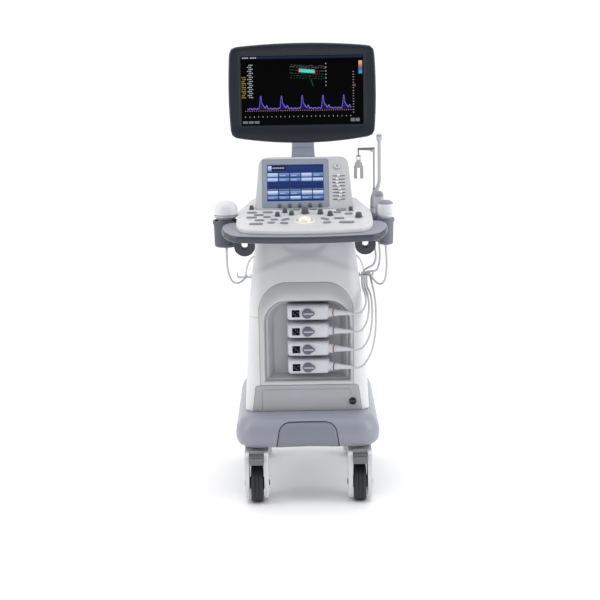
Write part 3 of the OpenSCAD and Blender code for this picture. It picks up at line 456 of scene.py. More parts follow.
def spline(points, per):
    """A smooth line through given points."""
    line = []
    last = len(points) - 1
    for i in range(last):
        a, b, c, d = (Vector(points[max(0, min(last, i + k))]) for k in (-1, 0, 1, 2))
        for s in range(per):
            u = s / per
            line.append(0.5 * (2 * b + (c - a) * u + (2 * a - 5 * b + 4 * c - d) * u**2
                + (3 * b - a - 3 * c + d) * u**3))
    return line + [Vector(points[last])]


def tube(line, radius, sides=12, flat=1.0):
    """A tube along a line; radius is a number or a function of the share of the way along."""
    steps = len(line)
    way = [(line[min(i + 1, steps - 1)] - line[max(i - 1, 0)]).normalized() for i in range(steps)]
    side = [way[0].orthogonal().normalized()]
    for i in range(1, steps):
        side.append((side[-1] - way[i] * side[-1].dot(way[i])).normalized())
    outlines = []
    for i in range(steps):
        r = radius(i / (steps - 1)) if callable(radius) else radius
        across = way[i].cross(side[i])
        outlines.append([line[i] + r * (side[i] * math.cos(a) + across * flat * math.sin(a))
            for a in (2 * math.pi * k / sides for k in range(sides))])
    return rings(outlines)


def softened(node, width=0.8, segments=2, degrees=34):
    """A CAD node's shape with its doubles merged and its sharp edges rounded."""
    bm = bmesh.new()
    bm.from_mesh(NODES[node].data)
    bmesh.ops.scale(bm, vec=(1 / MM,) * 3, verts=bm.verts)
    weld(bm)
    bmesh.ops.dissolve_limit(bm, angle_limit=math.radians(0.6), verts=bm.verts, edges=bm.edges)
    return bevel(bm, sharp_edges(bm, degrees), width, segments)


def combined(base, cutter, operation):
    """The boolean of two bmeshes."""
    held = []
    for bm in (base, cutter):
        mesh = bpy.data.meshes.new("held")
        bm.to_mesh(mesh)
        bm.free()
        held.append(bpy.data.objects.new("held", mesh))
        bpy.context.scene.collection.objects.link(held[-1])
    change = held[0].modifiers.new("cut", "BOOLEAN")
    change.operation = operation
    change.object = held[1]
    change.solver = "EXACT"
    bpy.context.view_layer.update()
    result = bmesh.new()
    result.from_mesh(held[0].evaluated_get(bpy.context.evaluated_depsgraph_get()).to_mesh())
    for obj in held:
        mesh = obj.data
        bpy.data.objects.remove(obj)
        bpy.data.meshes.remove(mesh)
    return result


def rounded_rect(x, y, r, per=6, side=1):
    """Points of a rounded rectangle from its lower right corner on; side points split each straight."""
    corners = [(x[1] - r, y[0] + r, -90), (x[1] - r, y[1] - r, 0), (x[0] + r, y[1] - r, 90),
        (x[0] + r, y[0] + r, 180)]
    arcs = [[(cx + r * math.cos(math.radians(a + 90 * k / per)),
        cy + r * math.sin(math.radians(a + 90 * k / per)))
        for k in range(per + 1)] for cx, cy, a in corners]
    points = []
    for i, arc in enumerate(arcs):
        points += arc
        end, start = arc[-1], arcs[(i + 1) % 4][0]
        points += [tuple(e + (s - e) * k / side for e, s in zip(end, start)) for k in range(1, side)]
    return points


def slot_points(length, width, per=8):
    return rounded_rect((-length / 2, length / 2), (-width / 2, width / 2), width / 2 - 0.001, per)


def rounded_corners(points, radii, per=5):
    """A polygon with each corner rounded by its own radius."""
    done = []
    count = len(points)
    for i in range(count):
        p, a, b = (Vector(points[k % count]) for k in (i, i - 1, i + 1))
        is_list = isinstance(radii, (list, tuple))
        r = radii[i] if is_list else radii
        if r <= 0:
            done.append(tuple(p))
            continue
        u, w = (a - p).normalized(), (b - p).normalized()
        room = [0.98 if is_list and radii[k % count] <= 0 else 0.49 for k in (i - 1, i + 1)]
        cut = min(r / math.tan(u.angle(w) / 2), (a - p).length * room[0], (b - p).length * room[1])
        start, end = p + u * cut, p + w * cut
        for k in range(per + 1):
            t = k / per
            done.append(tuple(start * (1 - t) ** 2 + p * 2 * t * (1 - t) + end * t**2))
    return done


def finish_piece(name, bm, body, finishes, replaces=(), slot=None, degrees=38):
    """Makes the object: metres, smooth faces with sharp edges kept, materials and body. The slot is not used.
    """
    bmesh.ops.scale(bm, vec=(MM,) * 3, verts=bm.verts)
    mesh = bpy.data.meshes.new(name)
    bm.to_mesh(mesh)
    bm.free()
    mesh.shade_smooth()
    mesh.set_sharp_from_angle(angle=math.radians(degrees))
    obj = bpy.data.objects.new(name, mesh)
    bpy.context.scene.collection.objects.link(obj)
    for finish in [finishes] if isinstance(finishes, str) else finishes:
        mesh.materials.append(FINISHES[finish])
    if body:
        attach(obj, body)
    if replaces:
        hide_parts(*replaces)
    return obj


def walled(obj, thickness, offset=-1):
    """Gives an open skin its wall, in millimetres: inwards at -1, to both sides at 0."""
    wall = obj.modifiers.new("wall", "SOLIDIFY")
    wall.thickness = thickness * MM
    wall.offset = offset


def refined(node, finish, width=0.8, segments=2, degrees=34):
    """Replaces a CAD node by its softened copy."""
    return finish_piece(node + "_shell", softened(node, width, segments, degrees), BODY_OF[node], finish,
        [node],
        SLOT_OF[node])


def repainted(node, finish):
    """Keeps a CAD node's mesh and gives it a finish."""
    mesh = NODES[node].data
    mesh.materials.clear()
    mesh.materials.append(FINISHES[finish])


def quads(panels):
    """Flat four-point faces with a UV of 0 to 1 each, for display pictures."""
    bm = bmesh.new()
    uv = bm.loops.layers.uv.new("UVMap")
    for panel in panels:
        corners, material = panel
        face = bm.faces.new([bm.verts.new(p) for p in corners])
        face.material_index = material
        for loop, c in zip(face.loops, ((0, 0), (1, 0), (1, 1), (0, 1))):
            loop[uv].uv = c
    return bm


def bar(x, y, z, material):
    """One rectangle facing up at height z."""
    return ([(x[0], y[0], z), (x[1], y[0], z), (x[1], y[1], z), (x[0], y[1], z)], material)


# ---- sizes and colours that a user would change ----
def length(name, description, default, low, high):
    return bpy.props.FloatProperty(name=name, description=description, default=default, min=low, max=high,
        unit="LENGTH", subtype="DISTANCE")


def colour(name, description, code):
    return bpy.props.FloatVectorProperty(name=name, description=description, default=linear(code), size=3,
        min=0.0,
        max=1.0, subtype="COLOR")


class ScannerSizes(bpy.types.PropertyGroup):
    """Sizes of the visible details"""

    shell_edge: length("Shell edge", "Rounding of the white covers' edges", 0.0018, 0.0003, 0.003)
    tray_edge: length("Tray edge", "Rounding of the console tray's rim", 0.011, 0.004, 0.012)
    recess_draft: length("Recess draft", "How far the connector recess narrows on its way in", 0.028, 0.004,
        0.03)
    key_dome: length("Key dome", "Rounding of a key's upper edge", 0.0012, 0.0004, 0.002)
    tread_depth: length("Tread depth", "Depth of the grooves in a tyre", 0.0016, 0.0005, 0.003)
    crease: length("Crease", "Depth of the soft step below the neck", 0.008, 0.0, 0.01)


class ScannerColours(bpy.types.PropertyGroup):
    """Colours of the main finishes"""

    shell_white: colour("Shell white", "Body covers", "#D9DADC")
    shell_grey: colour("Shell grey", "Lower service cover", "#A8A9AD")
    kick_grey: colour("Kick grey", "Front kick panel", "#7E818F")
    # Painted shade on the side faces of the tray's rim
    grip_strip: colour("Grip strip", "Front edge of the tray", "#41454F")
    blue_grey: colour("Blue grey", "Base, tray and rear handle", "#8E919E")
    bay_silver: colour("Bay silver", "Surround of the connectors", "#C2C3C5")
    bay_floor: colour("Bay floor", "Floor of the connector recess", "#BDBEC2")
    panel_white: colour("Panel white", "Control panel", "#D2D3D6")
    touch_grey: colour("Touch grey", "Touch display's housing", "#BDBFC2")
    touch_bezel: colour("Touch bezel", "Frame round the touch display", "#838B9B")
    key_grey: colour("Key grey", "Flat keys", "#83858D")
    knob_dark: colour("Knob dark", "Knobs", "#53555D")
    monitor_frame: colour("Monitor bezel", "Frame round the screen", "#1D212B")
    monitor_shell: colour("Monitor shell", "Rim and back of the monitor", "#6C7180")
    cast_grey: colour("Arm grey", "Monitor post and yoke", "#BABFD2")
    plug_white: colour("Plug white", "Probe connectors", "#CBCCD3")
    lock_grey: colour("Lock grey", "Turning locks of the connectors", "#5A6070")
    cable_grey: colour("Cable grey", "Probe cables", "#C4C4C6")
    probe_white: colour("Probe white", "Probe housings", "#D9DADF")
    probe_grey: colour("Probe grey", "Slim probes", "#B9BAC2")
    cup_dark: colour("Cup dark", "Large probe cup", "#4A4C55")
    cup_grey: colour("Cup grey", "Right-hand probe cups", "#6A6D7A")
    hook_navy: colour("Hook navy", "Cable hooks", "#252A36")
    tyre: colour("Tyre", "Caster tyres", "#25272D")
    caster_shell: colour("Caster guard", "Guards beside the wheels", "#D9DADE")
    pedal_grey: colour("Pedal grey", "Brake pedals", "#6E7073")
    ball: colour("Trackball", "Trackball", "#EDEBDA")


def sizes():
    return bpy.context.scene.scanner_sizes


# ---- stage, light and camera ----
def area_light(name, place, aim, size, power, tint=(1, 1, 1)):
    data = bpy.data.lights.new(name, "AREA")
    data.shape = "RECTANGLE"
    data.size, data.size_y = size
    data.energy = power
    data.color = tint
    obj = bpy.data.objects.new(name, data)
    bpy.context.scene.collection.objects.link(obj)
    obj.location = place
    obj.rotation_euler = (Vector(aim) - Vector(place)).to_track_quat("-Z", "Y").to_euler()
    # The panel lights the cart but isn't seen itself from the side
    obj.visible_camera = False


class SCANNER_OT_stage(bpy.types.Operator):
    """Makes the camera, the pale floor and the soft studio light"""

    bl_idname = "scanner.stage"
    bl_label = "Stage and camera"

    camera_at = (-0.019, -5.09, 1.63)
    pitch = math.radians(11.10)
    roll = math.radians(-0.95)
    lens = 89.95

    def execute(self, context):
        data = bpy.data.cameras.new("camera")
        data.lens = self.lens
        data.sensor_width = 36.0
        cam = bpy.data.objects.new("camera", data)
        context.scene.collection.objects.link(cam)
        look = Matrix.Rotation(math.pi / 2 - self.pitch, 4, "X") @ Matrix.Rotation(self.roll, 4, "Z")
        cam.matrix_world = Matrix.Translation(self.camera_at) @ look
        context.scene.camera = cam
        world = bpy.data.worlds.new("studio")
        world.use_nodes = True
        background = world.node_tree.nodes["Background"]
        background.inputs["Color"].default_value = (1.0, 1.0, 1.0, 1)
        # A white backdrop behind the cart and a darker room behind the camera
        way = add(world.node_tree, "ShaderNodeTexCoord").outputs["Generated"]
        depth = add(world.node_tree, "ShaderNodeSeparateXYZ", {"Vector": way}).outputs["Y"]
        glow = add(world.node_tree, "ShaderNodeMapRange",
            {"Value": depth, "From Min": -0.75, "From Max": 0.05,
            "To Min": 0.3, "To Max": 1.06})
        world.node_tree.links.new(glow.outputs[0], background.inputs["Strength"])
        context.scene.world = world
        context.scene.view_settings.view_transform = "Standard"
        # Painted cyclorama floor: matt, near white, with a trace of roller stipple
        floor_finish = moulded("Cyclorama floor paint matt", linear("#FBFBFC"), 0.55, 3.0, 0.00002, 0.006)
        floor = bpy.data.objects.new("floor", bpy.data.meshes.new("floor"))
        bm = bmesh.new()
        bmesh.ops.create_grid(bm, x_segments=1, y_segments=1, size=30)
        bm.to_mesh(floor.data)
        bm.free()
        floor.data.materials.append(floor_finish)
        context.scene.collection.objects.link(floor)
        area_light("key", (-2.7, -1.1, 1.9), (0, 0, 0.8), (1.2, 2.4), 26, (1, 0.99, 0.98))
        area_light("fill", (2.7, -1.1, 1.7), (0, 0, 0.8), (1.2, 2.4), 32, (0.98, 0.99, 1))
        sky = bpy.data.lights.new("ceiling", "SUN")
        sky.energy = 0.95
        sky.angle = math.radians(80)
        overhead = bpy.data.objects.new("ceiling", sky)
        overhead.rotation_euler = (math.radians(8), 0, 0)
        context.scene.collection.objects.link(overhead)
        return {"FINISHED"}


# ---- probe cables ----
def hook_turn(x):
    """Round the side hook at distance x from the centre plane."""
    return [(x, -150, 700), (x, -118, 701), (x, -100, 708), (x, -93, 722), (x, -99, 737), (x, -112, 744.5),
        (x, -129, 745)]


def boot_start(z):
    """The straight start out of the boot at height z."""
    return [(150.7, -243.3, z), (160, -246.3, z), (168, -248.6, z)]


ROUTES = [
    [*boot_start(631), (184, -251, 638), (196, -247, 658), (198, -238, 680), (196, -220, 694),
    (193, -185, 700),
        *hook_turn(192), (193, -141, 747), (200, -149, 761), (214, -151, 769), (229, -143, 777),
        (238, -125, 797),
        (237, -104, 822), (233, -92, 836), (233, -90, 846.5)],
    [*boot_start(570), (185, -252, 578), (201, -250, 606), (208, -244, 645), (207, -232, 676),
    (204, -212, 692),
        (201, -182, 699), *hook_turn(200), (201.2, -142, 748), (209, -153, 755), (222, -161, 757),
        (237, -162, 760), (247, -156, 778), (250, -150, 808), (249, -148, 832), (249, -148, 846.5)],
    [*boot_start(509), (187, -253, 518), (207, -253, 552), (217, -249, 600), (219, -241, 645),
    (217, -226, 678),
        (213, -204, 694), (209, -178, 700), *hook_turn(208), (209, -142, 746), (214, -158, 748),
        (226, -178, 734),
        (244, -198, 720), (260, -209, 730), (268, -213, 766), (269, -213, 804), (267, -212, 832),
        (267, -212, 846.5)],
    [*boot_start(448), (188, -254, 458), (212, -256, 496), (226, -253, 550), (231, -246, 605),
    (231, -234, 655),
        (227, -215, 692), (222, -190, 716), (218, -165, 735), (216.6, -145, 744), (216.6, -129, 745),
        (216.4, -110, 744), (214, -70, 732), (209, 60, 710), (207, 130, 714), (203, 190, 728),
        (192, 238, 741),
        (176, 262, 745.5), (150, 270, 745.5), (120, 271, 742), (0, 274, 718), (-120, 271, 742),
        (-150, 270, 745.5), (-176, 262, 745.5), (-192, 238, 741), (-203, 190, 728), (-207, 130, 714),
        (-208, 60, 710), (-203, -70, 732), (-199, -110, 744), (-198, -129, 745), (-199, -148, 743),
        (-208, -172, 735), (-224, -194, 730), (-241, -204, 738), (-253, -206, 764), (-258, -205, 800),
        (-258, -205, 846.5)],
]


class SCANNER_OT_cables(bpy.types.Operator):
    """Lays the four probe cables from the connectors over the hooks to the probes"""

    bl_idname = "scanner.cables"
    bl_label = "Probe cables"

    lift_from = 0.772
    lift_to = 0.846

    def execute(self, context):
        for i, route in enumerate(ROUTES, 1):
            line = spline(route, 5)
            obj = finish_piece(f"probe_cable_{i}", tube(line, CABLE_D / 2, 12), None, "cable_grey",
                [f"cable_{i}"],
                "cable_grey", 60)
            path = [p * MM for p in line]
            reach = sum((b - a).length for a, b in zip(path, path[1:]))
            x, y = (c * MM for c in route[-1][:2])
            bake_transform(obj)
            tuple(path[0])
        return {"FINISHED"}


# ---- casters ----
def at_caster(end, side):
    return at(CASTER_X * (-1 if side == "l" else 1), CASTER_Y[end], 0)


class SCANNER_OT_casters(bpy.types.Operator):
    """Builds the four casters: guards, axle caps, wheel cores, grooved tyres and ribbed pedals"""

    bl_idname = "scanner.casters"
    bl_label = "Casters"

    tyre_w = 40
    guard_out = 39
    # The pedal's ribs: how far the first lies before the swivel's trail, and its height
    first_rib = 42
    rib_z = 172.2

    def tyre(self):
        deep = sizes().tread_depth / MM
        half = self.tyre_w / 2
        inner = WHEEL_R - 14.4
        crown = [(-half, 11), (-half, 4.5), (-half + 1.5, 2.2), (-half + 4, 0.9), (-half + 8, 0.2)]
        grooves = [(g, step) for mid in (-6, 6) for g,
            step in ((mid - 1.6, 0), (mid - 1.1, deep), (mid + 1.1, deep),
            (mid + 1.6, 0))]
        run = crown + grooves + [(-a, b) for a, b in reversed(crown)]
        profile = [(inner, -half + 3)] + [(WHEEL_R - drop, a) for a, drop in run] + [(inner, half - 3),
            (inner, -half + 3)]
        return turned(profile, 72)

    def execute(self, context):
        for end in "fr":
            for side in "lr":
                key = end + side
                place = at_caster(end, side)
                refined(f"caster_fork_{key}", "caster_shell", 2.4, 3)
                axle = place @ at(0, -TRAIL, WHEEL_R)
                caps = [moved(turned([(0, 3.2), (7, 3.2), (9.5, 2.2), (10.5, 0), (0, 0)], 32),
                    axle @ at(s * self.guard_out, 0, 0) @ turn(90 * s, "Y")) for s in (-1, 1)]
                ring = moved(turned([(17, 0), (21, 0), (22, 1), (22, 7), (21, 8), (17, 8), (17, 0)], 40),
                    place @ at(0, 0, 180.2))
                finish_piece(f"axle_caps_{key}", join(*caps, ring), f"caster_{key}", "wheel_core", (),
                    "wheel_core")
                refined(f"wheel_{key}", "wheel_core", 0.8)
                finish_piece(f"tyre_{key}_tread", moved(self.tyre(), axle @ turn(90, "Y")),
                    f"road_wheel_{key}",
                    "tyre", [f"tyre_{key}"], "tyre", 30)
        for side in "lr":
            pedal = softened(f"brake_pedal_f{side}", 1.6, 3)
            ribs = [moved(cuboid((-22, 22), (-1.4, 1.4), (-1, 1.6), 0.6), at_caster("f", side)
                @ at(0, -TRAIL - self.first_rib - 6 * k, self.rib_z - 0.5 * k)) for k in range(5)]
            finish_piece(f"pedal_f{side}", join(pedal, *ribs), f"pedal_f{side}", "pedal_grey",
                [f"brake_pedal_f{side}"], "pedal_grey")
        return {"FINISHED"}


# ---- base ----
# Height above the cover's lower edge and how far the outline is drawn in there
BASE_PROFILE = [(0, 30), (3, 20), (9, 10.5), (18, 4), (30, 0.8), (44, 0), (58, 1.6), (72, 6), (84, 12.5),
    (94, 20),
    (101, 29), (105, 40), (106, 54), (106, 90), (106, 124)]


def base_front_dip(x):
    """The front is drawn in a little between the lobes over the casters."""
    return 13.0 * math.cos(math.pi * max(-1, min(1, x / 165)) / 2) ** 1.5


def base_outline(inset):
    points = rounded_rect((-240 + inset, 240 - inset), (-330 + inset, 368 - inset), max(20, 78 - inset), 12,
        16)
    shaped = []
    for x, y in points:
        if y < -150:
            y += base_front_dip(x)
        shaped.append((x, y))
    return shaped


def base_inset(z):
    """How far the base cover is drawn in at height z."""
    h = z - BASE_Z
    for (z0, i0), (z1, i1) in zip(BASE_PROFILE, BASE_PROFILE[1:]):
        if z0 <= h <= z1 and z1 > z0:
            return i0 + (i1 - i0) * (h - z0) / (z1 - z0)
    return BASE_PROFILE[-1][1]


class SCANNER_OT_base(bpy.types.Operator):
    """Builds the rounded base cover and its kick panel, and finishes the chassis"""

    bl_idname = "scanner.base"
    bl_label = "Base"

    kick_z = (189, 279)
    kick_r = 30
    cover_wall = 3
    kick_wall = 3.5
    seam_shade_t = 1
    seam_shade_shows = 2.2

    def kick_half(self, z):
        """Half the kick panel's width at height z, with round upper corners."""
        low, high = self.kick_z
        t = (z - low) / (high - low)
        into = max(0.0, self.kick_r - (high - z))
        return 103 - 14 * max(0.0, t - 0.1) - self.kick_r + math.sqrt(max(0.0, self.kick_r**2 - into**2))

    def kick_point(self, u, v):
        z = self.kick_z[0] + (self.kick_z[1] - self.kick_z[0]) * v
        x = (2 * u - 1) * self.kick_half(z)
        edge = min(u, 1 - u, v * 0.6, (1 - v) * 0.6)
        proud = 4.6 * min(1.0, edge / 0.05) ** 0.5
        return Vector((x, -330 + base_inset(z) + base_front_dip(x) - proud - 0.5, z))

    def seam_shade_point(self, u, v):
        """The dark sheet that shows round the kick panel: painted shade in its seam."""
        inner = self.kick_point(u, v)
        middle = sum(self.kick_z) / 2
        spread = 1 + self.seam_shade_shows / self.kick_half(middle)
        taller = 1 + 2 * self.seam_shade_shows / (self.kick_z[1] - self.kick_z[0])
        z = max(BASE_Z + 0.5, middle + (inner.z - middle) * taller)
        x = inner.x * spread
        return Vector((x, -330 + base_inset(z) + base_front_dip(x) - 0.4, z))

    def execute(self, context):
        outlines = [[(x, y, BASE_Z + h) for x, y in base_outline(i)] for h, i in BASE_PROFILE]
        cover = rings(outlines, capped=False)
        obj = finish_piece("base_cover_shell", cover, "root", "blue_grey", ["base_cover"], "blue_grey_shell",
            60)
        walled(obj, self.cover_wall)
        kick = finish_piece("kick_panel_shell", outward(sheet(40, 24, self.kick_point)), "root", "kick_grey",
            ["kick_panel"], "blue_grey_shell", 60)
        facing_front = kick.data.polygons[len(kick.data.polygons) // 2].normal.y < 0
        walled(kick, self.kick_wall, -1 if facing_front else 1)
        # Painted shade: a thin dark sheet on the base cover round the kick panel
        seam_shade = finish_piece("kick_gasket", outward(sheet(40, 24, self.seam_shade_point)), "root", "slot_dark",
            (),
            "blue_grey_shell", 60)
        walled(seam_shade, self.seam_shade_t, 0)
        repainted("chassis_frame", "frame_steel")
        return {"FINISHED"}


# ---- body ----
def level_value(z, column):
    """One body measure at height z, with the corners between levels smoothed."""
    total = 0.0
    spread = (-36, -18, 0, 18, 36)
    for dz in spread:
        h = z + dz
        for low, high in zip(BODY_LEVELS, BODY_LEVELS[1:]):
            if h <= high[0] or high is BODY_LEVELS[-1]:
                total += low[column] + (high[column] - low[column]) * (h - low[0]) / (high[0] - low[0])
                break
    return total / len(spread)


def smoothstep(a, b, x):
    t = max(0.0, min(1.0, (x - a) / (b - a)))
    return t * t * (3 - 2 * t)


def front_relief(x, z):
    """Soft relief of the upper front: the crease that runs down from the neck, and the neck's own pocket."""
    deep = sizes().crease / MM
    crease_z = 806 - 0.36 * max(0.0, abs(x) - 45)
    above = smoothstep(crease_z - 3, crease_z + 11, z)
    pocket_floor = 824 + 60 * (abs(x) / 88) ** 4
    pocket = smoothstep(pocket_floor - 3, pocket_floor + 6, z) * (1 - smoothstep(83, 90, abs(x)))
    return deep * above + 6 * pocket


def body_front(x, z):
    """Y of the body's front surface."""
    half, front = level_value(z, 1), level_value(z, 2)
    flat = half - BODY_CORNER
    over = max(0.0, abs(x) - flat)
    return front + BODY_CORNER - math.sqrt(max(0.0, BODY_CORNER**2 - over**2)) + front_relief(x, z)


def body_ring(z, inset):
    half, front, rear = (level_value(z, k) for k in (1, 2, 3))
    ring = rounded_rect((-half + inset, half - inset), (front + inset, rear - inset), BODY_CORNER - inset, 8,
        26)
    return [(x, y + (front_relief(x, z) if y < front + BODY_CORNER else 0), z) for x, y in ring]


def body_shell(low, high, step):
    """The whole body as one closed shell."""
    count = round((high - low) / step)
    heights = [low + (high - low) * i / count for i in range(count + 1)]
    outside = [body_ring(z, 0) for z in heights]
    inside = [body_ring(z, WALL) for z in reversed(heights)]
    return rings(outside + inside + [outside[0]], capped=False)


def arch_points(grow, foot, half=156, top=731, r=92, per=14):
    """The arched seam's outline, from its left foot round the top to its right foot."""
    half, top, r = half + grow, top + grow, r + grow
    left = [(-half + r - r * math.cos(math.radians(90 * k / per)),
        top - r + r * math.sin(math.radians(90 * k / per)))
        for k in range(per + 1)]
    side = [(-half, foot + (top - r - foot) * k / 10) for k in range(10)]
    points = side + left
    return points + [(-x, z) for x, z in reversed(points)]


def lower_points(grow):
    a, b, top = 183 + grow, 171 + grow, 387 + grow
    return rounded_corners([(-a, 295), (a, 295), (b, top), (-b, top)], [0, 0, 12, 12])


def prism(points, y0, y1):
    """An XZ outline given depth along Y."""
    return standing(plate(points, -y1, -y0), 0)


class SCANNER_OT_body(bpy.types.Operator):
    """Builds the body's covers, with seams between them, and the service door"""

    bl_idname = "scanner.body"
    bl_label = "Body covers"

    side_seam = 618
    rear_seam = 205
    foot = 299
    power_at = (152, 0, 330)

    def cover(self, name, bm, finish, replaces, extra=()):
        bevel(bm, sharp_edges(bm, 50), sizes().shell_edge / MM, 2)
        finish_piece(name, join(bm, *extra) if extra else bm, "root", finish, replaces, SLOT_OF[replaces[0]],
            30)

    def execute(self, context):
        arch = arch_points(SEAM / 2, 200)
        # Upper cowl
        top = combined(body_shell(self.side_seam + SEAM, 990, 9), prism(arch, -400, -80), "DIFFERENCE")
        top = combined(top, cuboid((-300, 300), (self.rear_seam, 400), (500, 1100)), "DIFFERENCE")
        lid = moved(cuboid((-400, 400), (-300, 417), (-71, 300)), ON_PANEL)
        top = combined(top, lid, "DIFFERENCE")
        top = combined(top, cuboid((-400, 400), (-400, 400), (955, 1200)), "DIFFERENCE")
        rim = cuboid((-150, 150), (28, 203), (950, 955), 1.5)
        rim = combined(rim, cuboid((-53, 53), (41, 127), (900, 1000)), "DIFFERENCE")
        self.cover("upper_cowl_shell", top, "white_shell", ["upper_cowl"], [rim,
            cuboid((-146, 146), (28, 32), (880, 954), 1)])
        # Side covers, the service cover and the rear cover share one lower shell
        for side, name in ((-1, "left_cover"), (1, "right_cover")):
            lower = body_shell(self.foot, self.side_seam, 14)
            lower = combined(lower, prism(arch, -400, -80), "DIFFERENCE")
            lower = combined(lower, prism(lower_points(SEAM / 2), -400, -120), "DIFFERENCE")
            lower = combined(lower, cuboid((-300, 300), (self.rear_seam - SEAM, 400), (200, 700)),
                "DIFFERENCE")
            lower = combined(lower, cuboid((-400, 0) if side > 0 else (0, 400), (-400, 400), (200, 700)),
                "DIFFERENCE")
            self.cover(name + "_shell", lower, "white_shell", [name])
        self.rear()
        self.service()
        return {"FINISHED"}

    def rear(self):
        rear = combined(body_shell(self.foot, 955, 16),
            cuboid((-300, 300), (-400, self.rear_seam), (200, 1100)),
            "DIFFERENCE")
        cuts = [cuboid((-90, 90), (200, 400), (500 + i * 16, 506 + i * 16)) for i in range(12)]
        cuts.append(cuboid((-74, 74), (200, 400), (324, 426), 4, 3))
        rear = combined(rear, join(*cuts), "DIFFERENCE")
        self.cover("rear_cover_shell", rear, "white_shell", ["rear_cover"])

    def service(self):
        cover = combined(body_shell(self.foot, 420, 12), prism(lower_points(-SEAM / 2), -400, -120),
            "INTERSECT")
        cover = combined(cover, moved(cylinder(12.2, -1, 300), at(*self.power_at)
            @ turn(90, "X")), "DIFFERENCE")
        path = rounded_corners([(-150, 302), (-150, 372), (146, 372), (146, 348)], [0, 10, 10, 0])
        line = [Vector((x, body_front(x, z) + 0.4, z)) for x, z in path]
        cover = combined(cover, tube(line, 1.1, 8), "DIFFERENCE")
        self.cover("service_cover_shell", cover, "grey_shell", ["lower_cover"])
        button = turned([(0, 13), (8.6, 13), (9.4, 12.4), (9.6, 11), (10.2, 11), (10.4, 13.6), (11.2, 14),
            (11.5, 13),
            (11.5, 0), (0, 0)], 48)
        finish_piece("power_button_cap", moved(button, at(*self.power_at) @ turn(90, "X") @ at(0, 0, 222)),
            "power_key", "button_black", ["power_button"], "button_black")


# ---- connector bay and plugs ----
def recess_points(shrink):
    """The recess's outline; it narrows most at the sides and least at the foot."""
    points = arch_points(0, 399 + shrink * 0.5, 144 - shrink, 672 - shrink * 0.45, 74 - shrink * 0.4)
    return [(x + 3, z) for x, z in points]


class SCANNER_OT_connector_bay(bpy.types.Operator):
    """Builds the silver surround with its rounded recess"""

    bl_idname = "scanner.connector_bay"
    bl_label = "Connector bay"

    floor_y = -165
    skin = 1.6

    def skin_ring(self, points, back):
        return [(x, body_front(x, z) + back, z) for x, z in points]

    def execute(self, context):
        draft = sizes().recess_draft / MM
        seam = arch_points(-SEAM / 2, 388, per=14)
        outlines = [self.skin_ring(seam, WALL), self.skin_ring(seam, 1.6),
            self.skin_ring(arch_points(-1.1, 388.6), 0.5),
            self.skin_ring(arch_points(-2.2, 389.7), 0)]
        mouth = recess_points(0)
        outlines += [self.skin_ring(recess_points(-5), 0), self.skin_ring(recess_points(-2), 0.9),
            self.skin_ring(mouth, 3.4)]
        floor = recess_points(draft)
        deep = [[(x0 + (x1 - x0) * t, (body_front(x0, z0) + 3.4) * (1 - t) + (self.floor_y - 8) * t,
            z0 + (z1 - z0) * t) for (x0, z0), (x1, z1) in zip(mouth, floor)] for t in (0.25, 0.5, 0.75, 1.0)]
        rounded = [[(x, self.floor_y - 8 + 8 * s, z) for x, z in recess_points(draft + 8 * c)]
            for s, c in ((0.6, 0.2), (0.92, 0.55), (1.0, 1.0))]
        surround = rings(outlines + deep[:1], capped=False)
        tub = rings(deep + rounded, capped=False)
        bmesh.ops.holes_fill(tub, edges=[e for e in tub.edges if e.is_boundary
            and min(v.co.y for v in e.verts) > self.floor_y - 1])
        outward(tub)
        finish_piece("bay_surround", surround, "root", "silver_lacquer", ["connector_bay"], "bay_shell", 50)
        finish_piece("bay_recess", tub, "root", "bay_floor", (), "bay_shell", 50)
        # A darker grey tube along the arch seam: painted shade in the seam's groove
        seam_shade_line = [Vector((x, body_front(x, z) + 0.8, z)) for x, z in arch_points(0, 389)]
        finish_piece("bay_bead", tube(seam_shade_line, 1.3, 8), "root", "key_grey", (), "bay_shell")
        for name in ("bay_surround", "bay_recess"):
            walled(bpy.data.objects[name], self.skin, 0)
        return {"FINISHED"}


